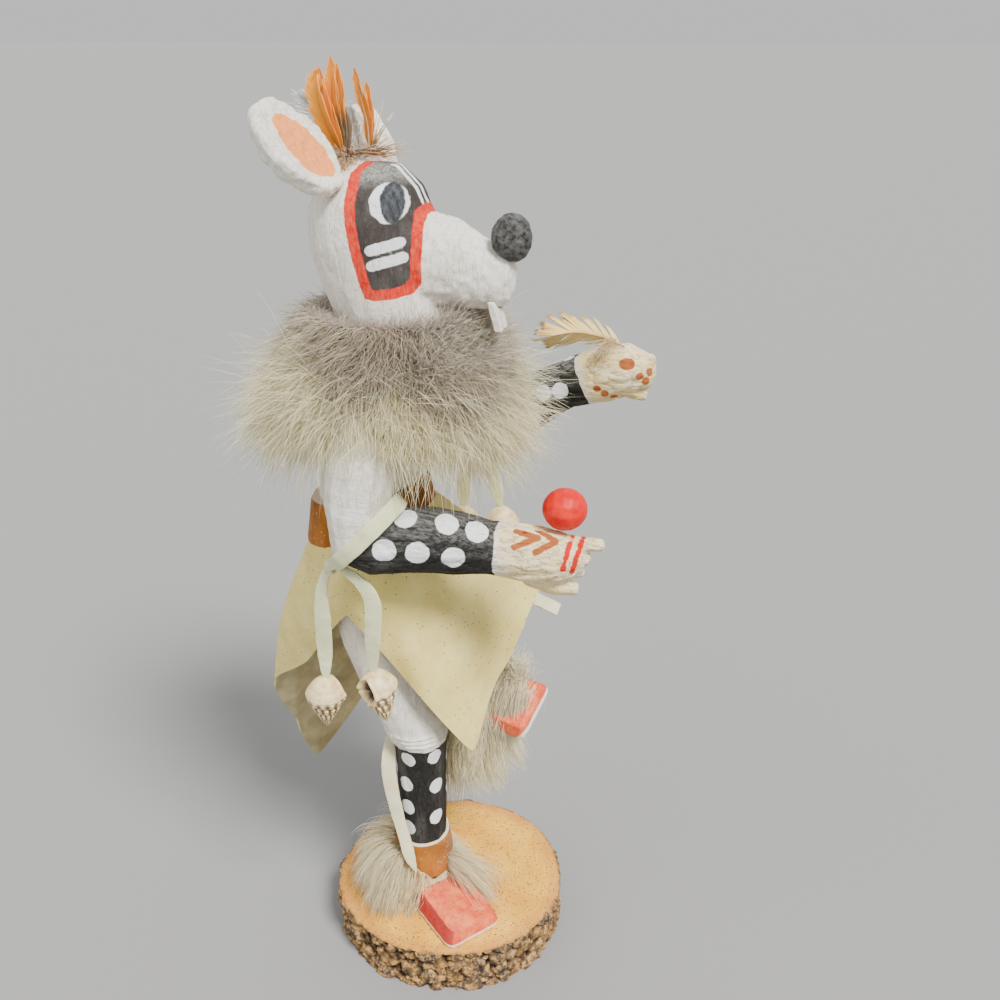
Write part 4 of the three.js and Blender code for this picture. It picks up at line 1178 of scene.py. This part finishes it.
crestTones = [(0, srgb(0.52, 0.38, 0.22)), (0.1, srgb(0.74, 0.48, 0.16)), (0.24, srgb(0.97, 0.60, 0.11)),
              (0.7, srgb(1.0, 0.68, 0.17)), (1, srgb(0.94, 0.52, 0.06))]
darkFoot = [(0, srgb(0.46, 0.38, 0.28)), (0.3, srgb(0.50, 0.40, 0.27)), (0.42, srgb(0.94, 0.58, 0.12)),
            (0.8, srgb(1.0, 0.66, 0.15)), (1, srgb(0.94, 0.53, 0.08))]
shortTones = [(0, srgb(0.66, 0.38, 0.14)), (0.3, srgb(0.92, 0.54, 0.12)), (0.8, srgb(1.0, 0.66, 0.17)),
              (1, srgb(0.88, 0.47, 0.06))]
footDown = [(0, srgb(0.42, 0.34, 0.25)), (0.6, srgb(0.58, 0.50, 0.40)), (1, srgb(0.72, 0.62, 0.48))]
tanTones = [(0, srgb(1.0, 0.93, 0.70)), (0.4, srgb(1.0, 0.88, 0.56)), (1, srgb(0.96, 0.80, 0.45))]
downTones = [(0, srgb(0.78, 0.72, 0.62)), (0.4, srgb(0.97, 0.94, 0.87)), (1, srgb(1.0, 0.99, 0.96))]
flatWay = (0.28, 1, -0.2)
plumes = {
    # slot, way it faces, lean and its split parts (spine, reach on either side from root to tip, tones);
    # then the part that the shaft runs along
    "crest_feather_tall": ("tallPlume", "orange_feather", flatWay, 0.4, [
        ([(-6, 20.6, 249.2), (-6.2, 23.9, 255.2), (-6.5, 26.1, 261.8), (-6.6, 26.3, 267.4)],
         (5, 8, 8, 5.5, 2.5), (5, 10, 10.5, 7, 2.5), crestTones),
        ([(-6, 20.5, 249.2), (-6.1, 23, 255.8), (-6.3, 24.8, 262), (-6.4, 25.3, 268.2)],
         (5, 10, 10.5, 7, 2.5), (5, 10, 9, 4.5, 2), crestTones),
        ([(-6, 20.3, 249.2), (-6.1, 22, 256.4), (-6.1, 22.7, 263), (-6.1, 22.6, 270.4)],
         (5, 10, 9, 5, 2.5), (5, 10, 10.5, 7, 2.5), darkFoot),
        ([(-6, 20, 249.4), (-5.8, 21, 256.2), (-5.7, 21.4, 263), (-5.6, 21.3, 269.2)],
         (5, 9, 9, 6, 2), (5, 8.5, 8, 5, 2), darkFoot),
        ([(-5.8, 19.9, 249.2), (-5.8, 19.8, 252.4), (-5.7, 20, 255.8), (-5.6, 20.2, 258.6)],
         (6, 8, 6, 3), (6, 8, 6, 3), footDown)], 1),
    "crest_feather_short": ("shortPlume", "orange_feather", flatWay, 0.32, [
        ([(0.4, 16.6, 250.6), (0.4, 16.6, 256.4), (0.4, 17.9, 262.4), (0.4, 19, 268)],
         (3, 5, 5.4, 4.6, 2), (3, 6, 6.4, 4.4, 2), shortTones),
        ([(0.5, 16.4, 250.6), (0.5, 15.8, 256), (0.5, 15.9, 260.8), (0.6, 16.3, 264.8)],
         (2, 3.8, 4.4, 4, 2), (2, 4.4, 5, 4, 2), shortTones)], 0),
    "hand_feather": ("handFeather", "straw_feather", (-0.35, 0, 0.94), 0.74, [
        ([(33, -45.5, 195.8), (33.2, -38, 198.2), (33.4, -31, 198.8), (33.6, -24.4, 197.4)],
         (5, 10, 11, 10, 7), (5, 11, 13, 12, 8), tanTones)], 0),
}
for nodeName, (pieceName, slotName, across, lean, splits, shaftOf) in plumes.items():
    barbs, split, jagged = (210, 11.0, 0.42) if nodeName == "hand_feather" else (100, 8.0, 0.2)
    vanes = [barbed(f"{pieceName}{i}", spine, across, up, low, tones, barbs=barbs, lean=lean, split=split,
                    cup=0.1, seed=len(pieceName) + i, jagged=jagged)
             for i, (spine, up, low, tones) in enumerate(splits)]
    dressed(joined(vanes, pieceName + "Vane"), [nodeName], featherBarbs)
    shaft = strap(pieceName + "Shaft", splits[shaftOf][0], 0.42, 0.4, across, around=8, rows=30,
                  widths=(1.2, 1, 0.7, 0.3))
    finished(shaft, [], shaftFinish)
print("feathers made")


# fur and down
def rootsOn(piece, count, keep, roll):
    # even random places on a piece's faces, with the outward direction there
    mesh = piece.data
    areas = np.array([face.area for face in mesh.polygons])
    centres = np.array([face.center for face in mesh.polygons]) / mm
    outs = np.array([face.normal for face in mesh.polygons])
    allowed = keep(centres, outs)
    chosen = roll.choice(len(areas), count, p=areas * allowed / (areas * allowed).sum())
    jitter = roll.normal(0, 0.35, (count, 3))
    outs = outs[chosen]
    jitter -= (jitter * outs).sum(1)[:, None] * outs
    return centres[chosen] + jitter, unit(outs)


def combed(name, roots, outs, flow, long, steps, radius, tints, roll, stray=0.3, droop=0.25, clumps=300,
           gather=0.5, curl=0.12, sink=0.8):
    # hairs leave the skin along flow, droop, and gather toward their tuft's tip
    count = len(roots)
    heading = unit(flow + stray * roll.normal(0, 1, (count, 3)))
    bend = curl * roll.normal(0, 1, (count, 3))
    paths = np.empty((count, steps, 3))
    paths[:, 0] = roots - outs * sink
    for k in range(1, steps):
        heading = unit(heading + bend / steps + np.array([0, 0, -droop / steps]))
        paths[:, k] = paths[:, k - 1] + heading * (long / (steps - 1))[:, None]
    if gather:
        leaders = roll.choice(count, min(clumps, count), replace=False)
        nearest = np.empty(count, int)
        for start in range(0, count, 4000):
            part = slice(start, start + 4000)
            away = ((roots[part, None] - roots[None, leaders]) ** 2).sum(2)
            nearest[part] = leaders[away.argmin(1)]
        share = gather * np.linspace(0, 1, steps)[None, :, None] ** 1.5
        share = share * roll.uniform(0.4, 1.1, (count, 1, 1))
        offset = (paths[nearest] - paths[nearest][:, :1]) + (roots[nearest] - roots)[:, None] * 0.85
        offset = offset + paths[:, :1]
        paths = paths * (1 - share) + offset * share
    radii = radius[:, None] * np.interp(np.linspace(0, 1, steps), [0, 0.6, 1], [1, 0.8, 0.3])[None, :]
    return strands(name, paths, radii, tints, unit(roll.normal(0, 1, (count, 3))))


hairFinish = strandFinish("rabbitHair", 0.7, 0.4, Subsurface_Weight=0.5, Subsurface_Scale=0.0015,
                          Subsurface_Radius=(1, 0.92, 0.78))


def underFinish():
    finish, tree, shader = newFinish("underFur", roughness=1.0, Sheen_Weight=0.4)
    shade = layer(tree, "strandTint", "Color")
    fine = speckle(tree, (1, 1, 0.2), 1.8, 4, 0.7)
    darker = add(tree, "HueSaturation", {"Color": shade, "Value": 0.7}).outputs[0]
    tree.links.new(mottled(tree, darker, shade, fine, 0.35, 0.65), shader.inputs["Base Color"])
    bump(tree, shader, fine, 0.7)
    return finish


underFur = underFinish()
furTones = {"grey": srgb(0.50, 0.40, 0.31), "cream": srgb(1.0, 0.95, 0.70), "pale": srgb(1.0, 0.95, 0.72),
            "root": srgb(0.84, 0.78, 0.64)}


def mixTone(first, second, share):
    return np.array(first[:3]) * (1 - share[..., None]) + np.array(second[:3]) * share[..., None]


ruff = {
    "centre": (-3.4, 11.9), "top": 212.0, "low": 171.0,
    "hemUnder": 190, "collarAbove": 199, "longBelow": 203,  # heights
    "front": np.array((0.26, -0.97, 0)),  # under the chin, where the fur stands higher
}


def fromNeck(at):
    # level lines from the ruff's upright axis
    return (at - np.array([*ruff["centre"], 0])) * np.array([1, 1, 0])


def ruffShade(at):
    # 0 grey-brown near the collar, 1 cream toward the hem; the grey reaches lower at the front
    height = (at[:, 2] - ruff["low"]) / (ruff["top"] - ruff["low"])
    away = fromNeck(at)
    angle = np.arctan2(away[:, 1], away[:, 0])
    edge = 0.64 - 0.15 * np.cos(angle + 1.31) + 0.14 * wander(at, 11, 90) + 0.06 * wander(at, 4, 91)
    return np.clip((edge - height) / 0.24 + 0.5, 0, 1)


coat = carved("fur_ruff", "ruffUndercoat", 1.3, 12, shake=0.5, grain=(3, 3, 8), shakeSeed=90)
at = points(coat)
away = fromNeck(at)
outer = np.clip((np.linalg.norm(away, axis=1) - 20) / 8, 0, 1)
shrunk = at - unit(away) * (outer * 4.6)[:, None]
shrunk[:, 2] += (0.4 + 0.6 * outer) * 7 * np.clip((ruff["hemUnder"] - at[:, 2]) / 12, 0, 1)
place(coat, shrunk)
shade = ruffShade(shrunk)
storeTint(coat, mixTone(furTones["grey"], furTones["cream"], shade) * 0.95)
finished(coat, ["fur_ruff"], underFur, smooth=180)


def shaded(tints, tone, share):
    share = np.broadcast_to(share, tints.shape[:2])
    return tints * (1 - share[..., None]) + np.array(tone[:3]) * share[..., None]


def ruffHairs(name, count, long, radius, steps, stray, droop, gather, seed, pale, clumps, collar=""):
    roll = np.random.default_rng(seed)

    def outside(centres, outs):
        away = np.linalg.norm(fromNeck(centres), axis=1)
        if collar:
            chin = fromNeck(centres) @ ruff["front"] / away
            atChin = (chin > 0.25) | (collar != "chin")
            high = centres[:, 2] > ruff["collarAbove"]
            return (high & (outs[:, 2] > -0.1) & (away < 30) & atChin).astype(float)
        # the longest hairs keep clear of the mask
        free = (centres[:, 2] < ruff["longBelow"]) | (pale <= 0.5)
        return ((away > 17) & free & ((outs[:, 2] > -0.75) | (away > 24))).astype(float)
    roots, outs = rootsOn(coat, count, outside, roll)
    around = unit(fromNeck(roots))
    height = np.clip((roots[:, 2] - 172) / 40, 0, 1)
    down = np.array([0, 0, -1.0])
    along = np.cross(around, (0, 0, 1))
    swirl = 0.45 * wander(roots, 13, seed)
    if collar:
        reach = np.linalg.norm(fromNeck(roots), axis=1)
        front = around @ ruff["front"]
        flow = around * ((reach - 21) / 9)[:, None] + along * (0.8 * swirl)[:, None]
        flow += np.array([0, 0, 1.0]) * (0.7 + 0.2 * front)[:, None]
        if collar == "chin":
            flow = around * 0.9 + np.array([0, 0, 0.65]) + along * (0.9 * swirl)[:, None]
        long = long * (0.85 + 0.35 * front)
    else:
        flow = around * (0.6 + 0.5 * height)[:, None] + outs * 0.35
        flow += down * (0.85 - 0.5 * height)[:, None] + along * swirl[:, None]
    size = long * roll.uniform(0.6, 1.25, count) * (1.0 - 0.15 * height)
    shade = ruffShade(roots)[:, None] * np.ones(steps)[None, :]
    t = np.linspace(0, 1, steps)[None, :]
    lighter = np.clip(shade + pale + 0.2 * roll.normal(0, 1, (count, 1)) + 0.12 * t, 0, 1)
    tints = mixTone(furTones["grey"], furTones["cream"], lighter)
    tints = shaded(tints, furTones["root"], 0.4 * (1 - t) ** 2 * (0.3 + 0.7 * (1 - shade)))
    tints = tints * roll.uniform(0.82, 1.12, (count, 1, 1))
    radii = radius * roll.uniform(0.7, 1.2, count)
    return combed(name, roots, outs, unit(flow), size, steps, radii, tints, roll, stray=stray, droop=droop,
                  gather=gather, clumps=clumps)


layers = [
    # name, hairs, length, radius, steps, stray, droop, gather, seed, paler by, tufts, collar
    ("ruffUnderHair", 11500, 7.8, 0.11, 4, 0.3, 0.35, 0.3, 101, 0.0, 900, ""),
    ("ruffMiddleHair", 11500, 9.5, 0.095, 4, 0.32, 0.4, 0.45, 105, 0.05, 500, ""),
    ("ruffCollarHair", 8500, 6.0, 0.08, 4, 0.4, 0.1, 0.25, 106, -0.05, 500, "all"),
    ("ruffChinHair", 4000, 11.0, 0.08, 5, 0.4, 0.2, 0.3, 107, 0.0, 300, "chin"),
    ("ruffLongHair", 7800, 14.0, 0.07, 5, 0.42, 0.5, 0.45, 103, 0.2, 320, ""),
    ("ruffGuardHair", 3400, 20.0, 0.075, 6, 0.6, 0.45, 0.0, 104, 0.8, 10, "")]
for layerSettings in layers:
    dressed(ruffHairs(*layerSettings), [], hairFinish)
print("ruff made")


def limitFloor(piece, height):
    # hairs lie on the slice instead of going into it
    at = points(piece)
    at[:, 2] = np.maximum(at[:, 2], height + 0.25 * (np.arange(len(at)) % 7) / 7)
    place(piece, at)


ankleFurs = {
    # frontShare thins the hairs in front; lay bends those on the inner side forward
    "right_ankle_fur": {
        "name": "rightAnkleFur", "centre": (-7.4, 7.1, 26), "count": 1900, "long": 9.5,
        "down": (0, 0.1, -0.9), "lay": (0, -0.2, 0), "seed": 120, "tone": (1.0, 0.89, 0.66), "shrink": 6.0,
        "frontShare": 0.35,
    },
    "left_ankle_fur": {
        "name": "leftAnkleFur", "centre": (17.1, -3.9, 76), "count": 5000, "long": 12.0,
        "down": (-0.1, -0.25, -1.2), "lay": (0, 0, 0), "seed": 121, "tone": (0.98, 0.90, 0.68),
        "shrink": 3.0, "frontShare": 1,
    },
}


def ankleFur(nodeName, name, centre, count, long, down, lay, seed, tone, shrink, frontShare):
    roll = np.random.default_rng(seed)
    tone = np.array(srgb(*tone)[:3])
    coat = carved(nodeName, name + "Undercoat", 0.9, 8, shake=0.3, grain=(2, 2, 6), shakeSeed=seed)
    at = points(coat)
    away = at - np.array(centre)
    away[:, 2] *= 0.3
    out = np.clip((np.linalg.norm(away[:, :2], axis=1) - 10) / 5, 0, 1)
    place(coat, at - unit(away) * (shrink * out)[:, None])
    storeTint(coat, np.tile(tone * 0.85, (len(at), 1)))
    finished(coat, [nodeName], underFur, smooth=180)

    def outside(centres, outs):
        reach = np.linalg.norm((centres - np.array(centre))[:, :2], axis=1)
        front = centres[:, 1] < centre[1] - 3
        return (reach > 9.6) * (centres[:, 2] > branch["furRest"] + 0.3) * np.where(front, frontShare, 1)
    roots, outs = rootsOn(coat, count, outside, roll)
    around = unit((roots - np.array(centre)) * np.array([1, 1, 0.2]))
    forward = np.clip((centre[1] - 3 - roots[:, 1]) / 4, 0, 1)[:, None]
    flow = unit(around * 0.7 + outs * 0.2 + np.array(down) + forward * np.array(lay))
    size = long * roll.uniform(0.6, 1.25, count)
    t = np.linspace(0, 1, 5)[None, :]
    share = np.clip(0.55 + 0.45 * t + 0.2 * roll.normal(0, 1, (count, 1)), 0, 1)
    tints = mixTone(tone * 0.72, furTones["pale"], share) * roll.uniform(0.82, 1.1, (count, 1, 1))
    radii = 0.09 * roll.uniform(0.7, 1.2, count)
    hair = combed(name + "Hair", roots, outs, flow, size, 5, radii, tints, roll, stray=0.2, droop=0.3,
                  gather=0.7, clumps=60)
    if nodeName == "right_ankle_fur":
        limitFloor(hair, branch["furRest"])
    dressed(hair, [], hairFinish)


for nodeName, settings in ankleFurs.items():
    ankleFur(nodeName, **settings)


def ankleTuft(name, count, towards, spread, start, rise, long, droop, gather, clumps, seed):
    # long hairs from under the right ankle band: they rise a little, then fall onto the slice
    roll = np.random.default_rng(seed)
    angle = math.radians(towards) + math.radians(spread) * roll.uniform(-1, 1, count)
    around = np.stack([np.cos(angle), np.sin(angle), np.zeros(count)], axis=1)
    roots = np.array((-7.4, 6.9, 0)) + around * roll.uniform(8.6, 10.6, count)[:, None]
    roots[:, 2] = roll.uniform(*start, count)
    flow = around + np.array([0, 0, 1.0]) * roll.uniform(*rise, count)[:, None]
    t = np.linspace(0, 1, 6)[None, :]
    share = np.clip(0.45 + 0.5 * t + 0.2 * roll.normal(0, 1, (count, 1)), 0, 1)
    tints = mixTone(srgb(0.88, 0.76, 0.54), furTones["pale"], share) * roll.uniform(0.85, 1.1, (count, 1, 1))
    size = long * roll.uniform(0.5, 1.15, count)
    radii = 0.075 * roll.uniform(0.7, 1.2, count)
    hair = combed(name, roots, around, unit(flow), size, 6, radii, tints, roll, stray=0.2, droop=droop,
                  gather=gather, clumps=clumps, curl=0.3)
    limitFloor(hair, branch["furRest"])
    dressed(hair, [], hairFinish)


ankleTuft("rightAnkleTuft", 2300, towards=112, spread=52, start=(26, 38), rise=(-0.2, 0.8), long=21,
          droop=2.6, gather=0.5, clumps=60, seed=122)
ankleTuft("rightAnkleStrands", 420, towards=264, spread=13, start=(26, 33), rise=(-0.6, 0.1), long=25,
          droop=1.0, gather=0.6, clumps=16, seed=123)
print("ankle furs made")


# the tuft on the head
def tuft(name, count, heart, spread, aim, long, tones, seed, radius=0.1, curl=0.5, fan=0.5, droop=0.1,
         gather=0.25, clumps=12):
    roll = np.random.default_rng(seed)
    roots = np.array(heart) + roll.normal(0, 1, (count, 3)) * np.array(spread)
    outs = np.tile(unit(aim), (count, 1))
    t = np.linspace(0, 1, 5)[None, :] * np.ones((count, 1))
    tints = toneRamp(tones, t) * roll.uniform(0.8, 1.15, (count, 1, 1))
    size = long * roll.uniform(0.45, 1.1, count)
    radii = radius * roll.uniform(0.7, 1.3, count)
    return combed(name, roots, outs, outs, size, 5, radii, tints, roll, stray=fan, droop=droop,
                  gather=gather, clumps=clumps, curl=curl, sink=0)


greyDown = [(0, srgb(0.72, 0.65, 0.55)), (1, srgb(1.0, 0.98, 0.93))]
brownHair = [(0, srgb(0.26, 0.18, 0.10)), (0.35, srgb(0.50, 0.31, 0.15)), (1, srgb(0.94, 0.66, 0.36))]
fluffHair = [(0, srgb(0.45, 0.28, 0.14)), (0.4, srgb(0.86, 0.62, 0.32)), (1, srgb(0.97, 0.80, 0.55))]
strawHair = [(0, srgb(0.72, 0.50, 0.26)), (1, srgb(0.96, 0.88, 0.66))]
parts = [
    barbed("downPlumeBack", [(0, 21.6, 249.6), (2.4, 27.4, 254.4), (3.6, 31.6, 258.4), (4.2, 34.6, 261.8)],
           flatWay, (3, 7, 9, 8, 5), (3, 6, 7, 6, 4), downTones, barbs=120, lean=0.75, split=4.0, cup=0.2,
           seed=61, barbRadius=0.13, jagged=0.35),
    barbed("downPlumeMiddle", [(1, 19.4, 250.4), (2.6, 20.6, 254), (3.4, 21.6, 257), (4, 22.2, 259.6)],
           flatWay, (2, 4, 4, 4, 3), (2, 4, 4, 4, 3), downTones, barbs=100, lean=0.6, split=4.0, cup=0.2,
           seed=62, barbRadius=0.12, jagged=0.4),
    tuft("downLoose", 160, (1.5, 22.5, 250.4), (1.6, 2.0, 0.6), (0.2, 0.5, 1), 13, greyDown, 130,
         radius=0.07, curl=1.0, fan=0.42),
    tuft("brownLock", 64, (-2.6, 18.2, 250.2), (0.6, 2.6, 0.3), (0.0, -1, 0.26), 11, brownHair, 132,
         radius=0.12, curl=0.3, fan=0.1, droop=0.5),
    tuft("darkKnot", 90, (-4.6, 20.3, 249.6), (1.4, 1.2, 0.5), (-0.5, 0.2, 0.5), 4.0, brownHair, 135,
         radius=0.12, curl=0.8, fan=0.6),
    tuft("fluffRoot", 420, (-6.8, 21.4, 248.6), (1.6, 1.6, 0.6), (-0.6, 0.1, -0.7), 4.6, fluffHair, 133,
         radius=0.09, curl=0.9, fan=0.5),
    tuft("strawBarbs", 9, (0.4, 15.6, 251.6), (0.4, 0.5, 0.3), (0.0, -0.55, 1), 12, strawHair, 134,
         radius=0.2, curl=0.15, fan=0.22, droop=0),
]
tuftPiece = joined(parts, "crestTuft")
shoeTones = [(0, srgb(0.92, 0.83, 0.62)), (1, srgb(1.0, 0.96, 0.76))]
overShoe = joined([
    tuft("leftShoeFur", 4200, (8.7, -16.6, 90.2), (0.9, 3.2, 3.2), (-0.1, 0.3, -1), 21, shoeTones, 137,
         radius=0.09, curl=0.3, fan=0.13, droop=0.5, gather=0.5, clumps=60),
    tuft("leftShoeTop", 1100, (9.4, -17.5, 93.5), (0.9, 2.8, 1.6), (-0.12, -0.16, 1), 9, shoeTones, 138,
         radius=0.09, curl=0.4, fan=0.2, droop=0.4),
    tuft("leftShoeFront", 1600, (8.6, -18.6, 82.5), (0.7, 1.7, 3.6), (-0.12, 0.5, -1), 15, shoeTones, 139,
         radius=0.09, curl=0.25, fan=0.13, droop=0.5, gather=0.5, clumps=30),
], "leftShoeFur")
dressed(overShoe, [], hairFinish)
handDown = tuft("handFeatherDown", 70, (32.0, -41.6, 197.6), (0.6, 1.0, 0.5), (-0.7, 0.5, -0.35), 9,
                strawHair, 136, radius=0.1, curl=0.5, fan=0.25, droop=0.5)
dressed(handDown, [], hairFinish)
dressed(tuftPiece, ["crest_down"], hairFinish)
print("tuft made")


# camera, light and floor
view = {"at": (-245.9, -83.2, 277.4), "tilt": 65, "turn": -75, "lens": 36.1}
bpy.ops.object.camera_add(location=[c * mm for c in view["at"]],
                          rotation=(math.radians(view["tilt"]), 0, math.radians(view["turn"])))
camera = bpy.context.object
camera.data.lens = view["lens"]
camera.data.clip_start = 0.01
bpy.context.scene.camera = camera


def softSun(name, fromWay, strength, spread, colour):
    bpy.ops.object.light_add(type="SUN", location=[c * 0.6 for c in fromWay])
    light = bpy.context.object
    light.name = name
    light.data.energy = strength
    light.data.angle = math.radians(spread)
    light.data.color = colour
    light.rotation_euler = Vector([-c for c in fromWay]).to_track_quat("-Z", "Y").to_euler()


suns = {
    # the way it comes from, strength, spread in degrees, colour
    "keyLight": ((-0.55, -0.7, 1.15), 6.0, 18, (1, 0.985, 0.96)),
    "fillLight": ((-0.9, 0.7, 0.7), 0.8, 60, (0.97, 0.98, 1)),
    "backLight": ((0.8, 0.5, 0.9), 0.5, 50, (1, 1, 1)),
}
surround = {"floor": srgb(0.573, 0.573, 0.571), "world": (0.97, 0.97, 0.98, 1), "worldStrength": 0.72}
for name, settings in suns.items():
    softSun(name, *settings)
bpy.ops.mesh.primitive_plane_add(size=60, location=(0, 0, 0))
floor = bpy.context.object
floor.name = "floor"
floorFinish, _, floorShader = newFinish("floorPaint", roughness=0.85)
floorShader.inputs["Base Color"].default_value = surround["floor"]
floor.data.materials.append(floorFinish)
world = bpy.context.scene.world or bpy.data.worlds.new("World")
bpy.context.scene.world = world
world.use_nodes = True
background = world.node_tree.nodes["Background"]
background.inputs["Color"].default_value = surround["world"]
background.inputs["Strength"].default_value = surround["worldStrength"]
print("camera, light and floor set")

triangles = {piece.name: len(piece.data.loops) - 2 * len(piece.data.polygons)
             for piece in bpy.context.scene.objects if piece.type == "MESH" and not piece.hide_render}
heaviest = max(triangles, key=triangles.get)
print("triangles:", sum(triangles.values()), "most:", heaviest, triangles[heaviest])
